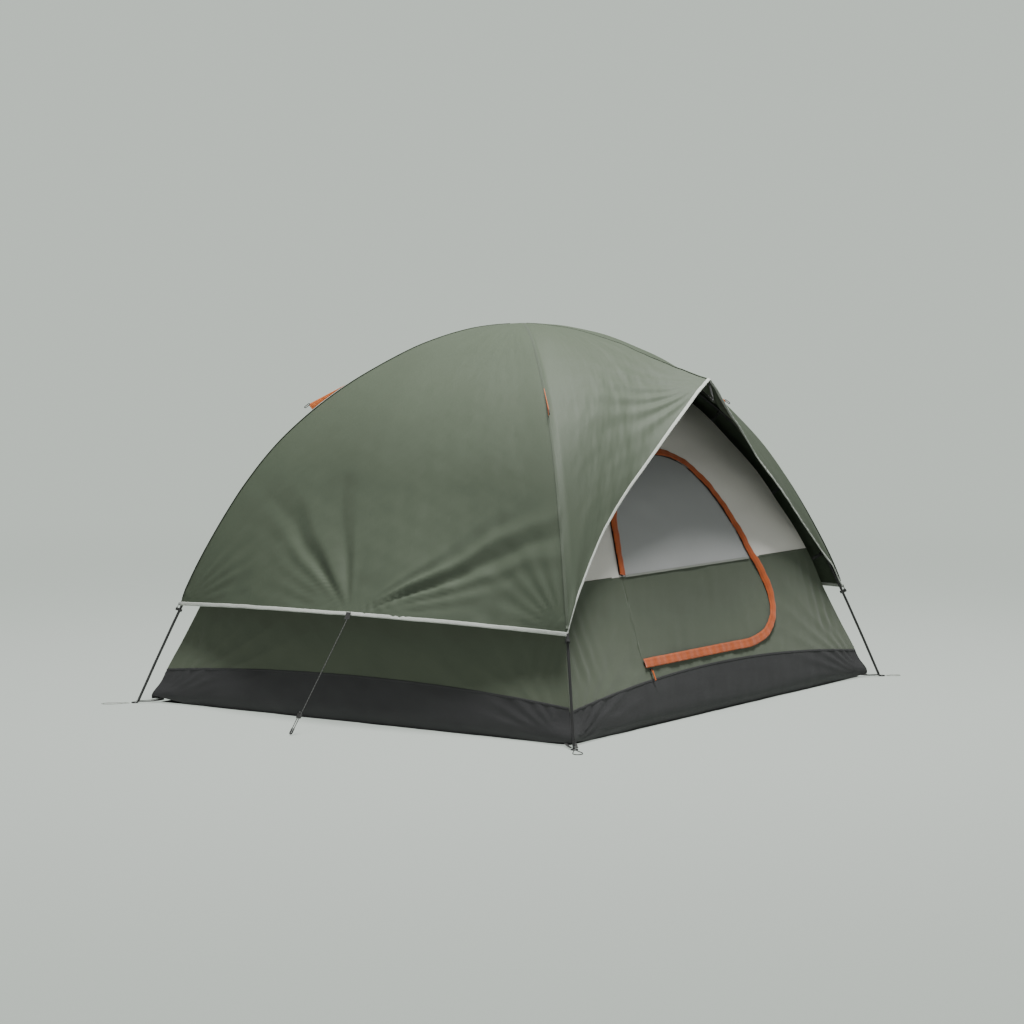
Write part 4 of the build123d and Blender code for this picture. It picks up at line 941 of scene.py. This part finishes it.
# light tape along the foot of the mesh window
wl = np.stack([np.linspace(-0.462, 0.417, 120), np.full(120, SEAM_GREEN)], axis=1)
p, a, nr = line_on_front(wl, 0.0016)
wt = ribbon("window_foot_tape", p, a, nr, 0.0085, 0.0010, crown=0.0004)
set_mat(wt, SEAM_G)
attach(wt, "door")
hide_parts("window_binding")

# sewn seams of the inner tent: green to grey, tub to wall
for side in ("front", "rear", "left", "right"):
    for lab, mat, zf, wd, slot_name in (("green", GREEN, lambda u: SEAM_GREEN + 0 * u, 0.007, "tent_cloth_green"),
                                        ("tub", TUB, lambda u, s=side: tub_top(s, u), 0.008, "groundsheet")):
        spans = [(-1, 1)]
        if side == "front" and lab == "green":
            spans = [(-1, -0.63), (0.57, 1)]
        for k, (s0, s1) in enumerate(spans):
            w_ = wall_half(side, 0.515 if lab == "green" else 0.1)
            u = np.linspace(s0 * w_ + (0.002 if s0 == -1 else 0), s1 * w_ - (0.002 if s1 == 1 else 0), 160)
            z = zf(u)
            u = np.clip(u, -(wall_half(side, z) - .001), wall_half(side, z) - .001)
            d = wall_wrinkle(side, u, z)
            pp = wall_point(side, u, z, d + 0.0007)
            qq = wall_point(side, u, z, d + 0.0107)
            nr = (qq - pp) / np.linalg.norm(qq - pp, axis=1)[:, None]
            t = np.gradient(pp, axis=0)
            t /= np.linalg.norm(t, axis=1)[:, None]
            aa = np.cross(nr, t)
            sm = ribbon("seam_%s_%s_%d" % (lab, side, k), pp, aa, nr, wd, 0.0009, crown=0.0004)
            set_mat(sm, mat)
            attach(sm, "tent")

for sh in sheets:
    n_ = sh.name
    ar = area_of(sh)
    dims = {"tub": (2.12 if ("front" in n_ or "rear" in n_) else 1.85, 0.20), "wal": (2.06 if ("front" in n_ or "rear" in n_) else 1.80, 0.46),
            "can": (1.72 if ("front" in n_ or "rear" in n_) else 1.50, 1.16), "gro": (2.10, 1.83)}
    wdt, hgt = dims.get(n_[:3], (1.02, 0.42 if n_ == "door_mesh_window" else 0.34))
    if not 0.3 * wdt * hgt <= ar <= wdt * hgt:
        k = math.sqrt(ar / (0.8 * wdt * hgt))
        wdt, hgt = wdt * k, hgt * k


# ------------------------------------------------- straps and small trims --
def soften(node_name, body, mat, width=0.0004, uvscale=1.0):
    """A sewn piece that keeps its CAD place: rounded edges and its own weave."""
    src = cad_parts[node_name]
    me = src.data.copy()
    bm = bmesh.new()
    bm.from_mesh(me)
    bmesh.ops.remove_doubles(bm, verts=bm.verts, dist=1e-6)
    bmesh.ops.dissolve_limit(bm, angle_limit=math.radians(2), verts=bm.verts, edges=bm.edges)
    sharp = [e for e in bm.edges if len(e.link_faces) == 2 and e.calc_face_angle(0) > math.radians(35)]
    try:
        bmesh.ops.bevel(bm, geom=sharp, offset=width, segments=2, profile=0.6, affect="EDGES", clamp_overlap=True)
    except Exception:
        pass
    bmesh.ops.triangulate(bm, faces=[f for f in bm.faces if len(f.verts) > 4])
    lay = bm.loops.layers.uv.new("UVMap")
    for f in bm.faces:
        n_ = f.normal
        ax = max(range(3), key=lambda k: abs(n_[k]))
        for lp in f.loops:
            c = lp.vert.co
            lp[lay].uv = (c[(ax + 1) % 3] + c[(ax + 2) % 3] * 0.5, (c[(ax + 2) % 3] * 60.0) % 1.0)
        f.smooth = True
    bm.to_mesh(me)
    bm.free()
    ob = bpy.data.objects.new(node_name + "_sewn", me)
    bpy.context.scene.collection.objects.link(ob)
    me.materials.clear()
    me.materials.append(mat)
    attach(ob, body)
    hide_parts(node_name)
    return ob


ORANGE_TAB = webbing("orange_tab", (0.66, 0.155, 0.032), (0.52, 0.105, 0.022), (0.80, 0.28, 0.09), lines=())
BLACK_TAB = webbing("black_strap", (0.022, 0.022, 0.020), (0.012, 0.012, 0.011), (0.04, 0.04, 0.04), lines=())
soften("guy_tabs", "rainfly", ORANGE_TAB, 0.0005)
for nd, bd in (("guy_tab_loops", "rainfly"), ("hook_straps", "rainfly"), ("hem_loop", "rainfly"), ("ridge_pockets", "rainfly"),
               ("clip_straps", "tent")):
    soften(nd, bd, BLACK_TAB)

# ground straps from the tub's corners to the pole feet
for cn, (sx, sy) in {"fl": (-1, -1), "fr": (1, -1), "rr": (1, 1), "rl": (-1, 1)}.items():
    dg = np.array([sx * HX / DIAG, sy * HY / DIAG])
    sv = np.array([-dg[1], dg[0]])
    tip = dg * (FOOT_R + 0.006)
    for k in (0, 1):
        st = np.array([sx * (HX + 0.0015), sy * (HY - 0.026)]) if k == 0 else np.array([sx * (HX - 0.026), sy * (HY + 0.0015)])
        m = 1 if np.dot(st - tip, sv) > 0 else -1
        en = tip + sv * m * 0.0096
        tt = np.linspace(0, 1, 26)
        xy = st[None] * (1 - tt)[:, None] + en[None] * tt[:, None]
        zz = 0.0062 + 0.009 * (1 - tt) ** 2 * (1 - tt)
        c = np.column_stack([xy, zz])
        t = np.gradient(c, axis=0)
        t /= np.linalg.norm(t, axis=1)[:, None]
        roll = 0.9 * (1 - tt) ** 2
        nr = np.tile([0, 0, 1.0], (26, 1)) * np.cos(roll)[:, None]
        outd = np.array([sx, 0, 0]) if k == 0 else np.array([0, sy, 0])
        nr = nr + outd[None] * np.sin(roll)[:, None]
        nr -= t * np.sum(nr * t, axis=1)[:, None]
        nr /= np.linalg.norm(nr, axis=1)[:, None]
        aa = np.cross(nr, t)
        stp = ribbon("corner_strap_%s_%d" % (cn, k), c, aa, nr, 0.0095, 0.0014)
        set_mat(stp, BLACKWEB)
        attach(stp, "tent")
        if cn == "fl" and k == 0:
            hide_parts("corner_webbing")

# ------------------------------------------------ CAD parts that stay as is --
for nd, mat in (("pole_a_rods", ROD), ("pole_b_rods", ROD), ("ridge_pole", ROD), ("pole_a_ferrules", METAL),
                ("pole_b_ferrules", METAL), ("foot_pins", METAL), ("pole_a_shock_cord", ELASTIC),
                ("pole_b_shock_cord", ELASTIC), ("pole_clips", PLASTIC), ("apex_hook", PLASTIC),
                ("corner_hooks", PLASTIC), ("ridge_pole_caps", PLASTIC), ("zip_slider", METAL),
                ("guyline_runner", PLASTIC), ("guyline_sleeve", ELASTIC), ("guyline_knot", CORD)):
    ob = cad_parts[nd]
    ob.data.materials.clear()
    ob.data.materials.append(mat)
ORANGE_PULL = hard("zip_pull_orange", (0.60, 0.14, 0.03), (0.46, 0.095, 0.02), 0.55, 0.0, 300.0, 0.3)
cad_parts["zip_pull"].data.materials.clear()
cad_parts["zip_pull"].data.materials.append(ORANGE_PULL)


# -------------------------------------------------------------- the cords --
def nurbs_cord(name, pts, dia, mat, body, nodes_):
    cu = bpy.data.curves.new(name, "CURVE")
    cu.dimensions = "3D"
    sp = cu.splines.new("NURBS")
    sp.points.add(len(pts) - 1)
    for q, pnt in zip(sp.points, pts):
        q.co = (*pnt, 1.0)
    sp.order_u = 3
    sp.use_endpoint_u = True
    sp.resolution_u = 14
    cu.bevel_depth = dia / 2
    cu.bevel_resolution = 4
    cu.use_fill_caps = True
    ob = bpy.data.objects.new(name, cu)
    bpy.context.scene.collection.objects.link(ob)
    cu.materials.append(mat)
    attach(ob, body)
    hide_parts(*nodes_)
    return ob


guy_pts = [(-1.094, -0.004, 0.371), (-1.4018, -0.004, 0.0127), (-1.407, -0.004, 0.0066), (-1.407, 0.004, 0.0066),
           (-1.4018, 0.004, 0.0127), (-1.3523, 0.004, 0.0703)]
guy = nurbs_cord("guyline_cord", guy_pts, 0.003, CORD, "rainfly", ["guyline"])

LOOPS = {
    "fl": ([(-1.1296, -0.9888, 0.0018), (-1.1433, -1.01, 0.0018), (-1.1588, -1.0315, 0.0018), (-1.181, -1.0454, 0.0018),
            (-1.1994, -1.039, 0.0018), (-1.1989, -1.0199, 0.0018), (-1.178, -1.0045, 0.0018), (-1.1558, -0.9931, 0.0018),
            (-1.1355, -0.982, 0.0018)], 0.1855, LOOPB),
    "fr": ([(1.1361, -0.9813, 0.0018), (1.1534, -0.987, 0.0018), (1.1708, -0.9941, 0.0018), (1.1816, -1.0089, 0.0018),
            (1.1755, -1.0261, 0.0018), (1.1596, -1.0308, 0.0018), (1.1474, -1.0176, 0.0018), (1.1387, -1.0021, 0.0018),
            (1.1302, -0.9881, 0.0018)], 0.1377, LOOPC),
    "rr": ([(1.1296, 0.9888, 0.0018), (1.1433, 1.01, 0.0018), (1.1588, 1.0315, 0.0018), (1.181, 1.0454, 0.0018),
            (1.1994, 1.039, 0.0018), (1.1989, 1.0199, 0.0018), (1.178, 1.0045, 0.0018), (1.1558, 0.9931, 0.0018),
            (1.1355, 0.982, 0.0018)], 0.1855, LOOPC),
    "rl": ([(-1.1361, 0.9813, 0.0018), (-1.1634, 0.9957, 0.0018), (-1.1915, 1.0121, 0.0018), (-1.213, 1.0362, 0.0018),
            (-1.2109, 1.0569, 0.0018), (-1.1896, 1.0569, 0.0018), (-1.1668, 1.0344, 0.0018), (-1.1481, 1.0102, 0.0018),
            (-1.1302, 0.9881, 0.0018)], 0.2229, LOOPC),
}
for cn, (pts, ln, mt) in LOOPS.items():
    lp = nurbs_cord("ground_loop_" + cn, [Vector(q) for q in pts], 0.003, mt, "tent", ["peg_loop_" + cn])

# --------------------------------------------------------- floor and light --
BG = (0.655, 0.725, 0.658)
fm, nt, b = new_mat("studio_floor")
b.inputs["Roughness"].default_value = 0.95
b.inputs["Specular IOR Level"].default_value = 0.05
tcn = node(nt, "TexCoord")
nz = node(nt, "TexNoise", Scale=0.6, Detail=2.0)
nt.links.new(tcn.outputs["Object"], nz.inputs["Vector"])
nt.links.new(mix_color(nt, nz.outputs["Fac"], (0.125, 0.134, 0.125), (0.130, 0.139, 0.130)), b.inputs["Base Color"])
em = node(nt, "Emission")
em.inputs["Color"].default_value = (*BG, 1)
em.inputs["Strength"].default_value = 0.80
addn = node(nt, "AddShader")
nt.links.new(b.outputs["BSDF"], addn.inputs[0])
nt.links.new(em.outputs[0], addn.inputs[1])
ln_ = node(nt, "VectorMath", operation="LENGTH")
nt.links.new(tcn.outputs["Object"], ln_.inputs[0])
mr = node(nt, "MapRange")
mr.inputs["From Min"].default_value = 2.0
mr.inputs["From Max"].default_value = 9.0
mr.interpolation_type = "SMOOTHSTEP"
nt.links.new(ln_.outputs["Value"], mr.inputs["Value"])
tr = node(nt, "BsdfTransparent")
mx = node(nt, "MixShader")
nt.links.new(mr.outputs[0], mx.inputs[0])
nt.links.new(addn.outputs[0], mx.inputs[1])
nt.links.new(tr.outputs[0], mx.inputs[2])
outn = [q for q in nt.nodes if q.type == "OUTPUT_MATERIAL"][0]
nt.links.new(mx.outputs[0], outn.inputs["Surface"])
ring = [(0.0, 0.0, -0.0004)]
K = 96
for r_ in (1.5, 3.2, 6.0, 9.5):
    ring += [(r_ * math.cos(2 * math.pi * k / K), r_ * math.sin(2 * math.pi * k / K), -0.0004) for k in range(K)]
ff = [(0, 1 + k, 1 + (k + 1) % K) for k in range(K)]
for j in range(3):
    ff += [(1 + j * K + k, 1 + (j + 1) * K + k, 1 + (j + 1) * K + (k + 1) % K, 1 + j * K + (k + 1) % K) for k in range(K)]
ground = mesh_object("studio_ground", ring, ff)
ground.data.materials.append(fm)

world = bpy.data.worlds.new("studio")
bpy.context.scene.world = world
world.use_nodes = True
wt_ = world.node_tree
bgn = wt_.nodes["Background"]
bgn.inputs["Color"].default_value = (*BG, 1)
bgn.inputs["Strength"].default_value = 1.0
bg2 = wt_.nodes.new("ShaderNodeBackground")
bg2.inputs["Color"].default_value = (0.80, 0.84, 0.82, 1)
bg2.inputs["Strength"].default_value = 0.27
lpn = wt_.nodes.new("ShaderNodeLightPath")
mxw = wt_.nodes.new("ShaderNodeMixShader")
wt_.links.new(lpn.outputs["Is Camera Ray"], mxw.inputs[0])
wt_.links.new(bg2.outputs[0], mxw.inputs[1])
wt_.links.new(bgn.outputs[0], mxw.inputs[2])
wt_.links.new(mxw.outputs[0], [q for q in wt_.nodes if q.type == "OUTPUT_WORLD"][0].inputs["Surface"])


def area(name, loc, target, size, power, color=(1, 1, 1)):
    ld = bpy.data.lights.new(name, "AREA")
    ld.shape = "DISK"
    ld.size = size
    ld.energy = power
    ld.color = color
    ob = bpy.data.objects.new(name, ld)
    bpy.context.scene.collection.objects.link(ob)
    ob.location = loc
    ob.rotation_euler = (Vector(loc) - Vector(target)).to_track_quat("Z", "Y").to_euler()
    return ob


area("key_top", (-0.45, -1.0, 6.1), (0, 0, 0.7), 2.2, 860)
area("fill_front", (-3.5, -8.5, 1.6), (0, 0, 0.6), 4.0, 32)
area("fill_side", (-7.5, 1.2, 0.35), (0, 0.2, 0.1), 2.6, 110)
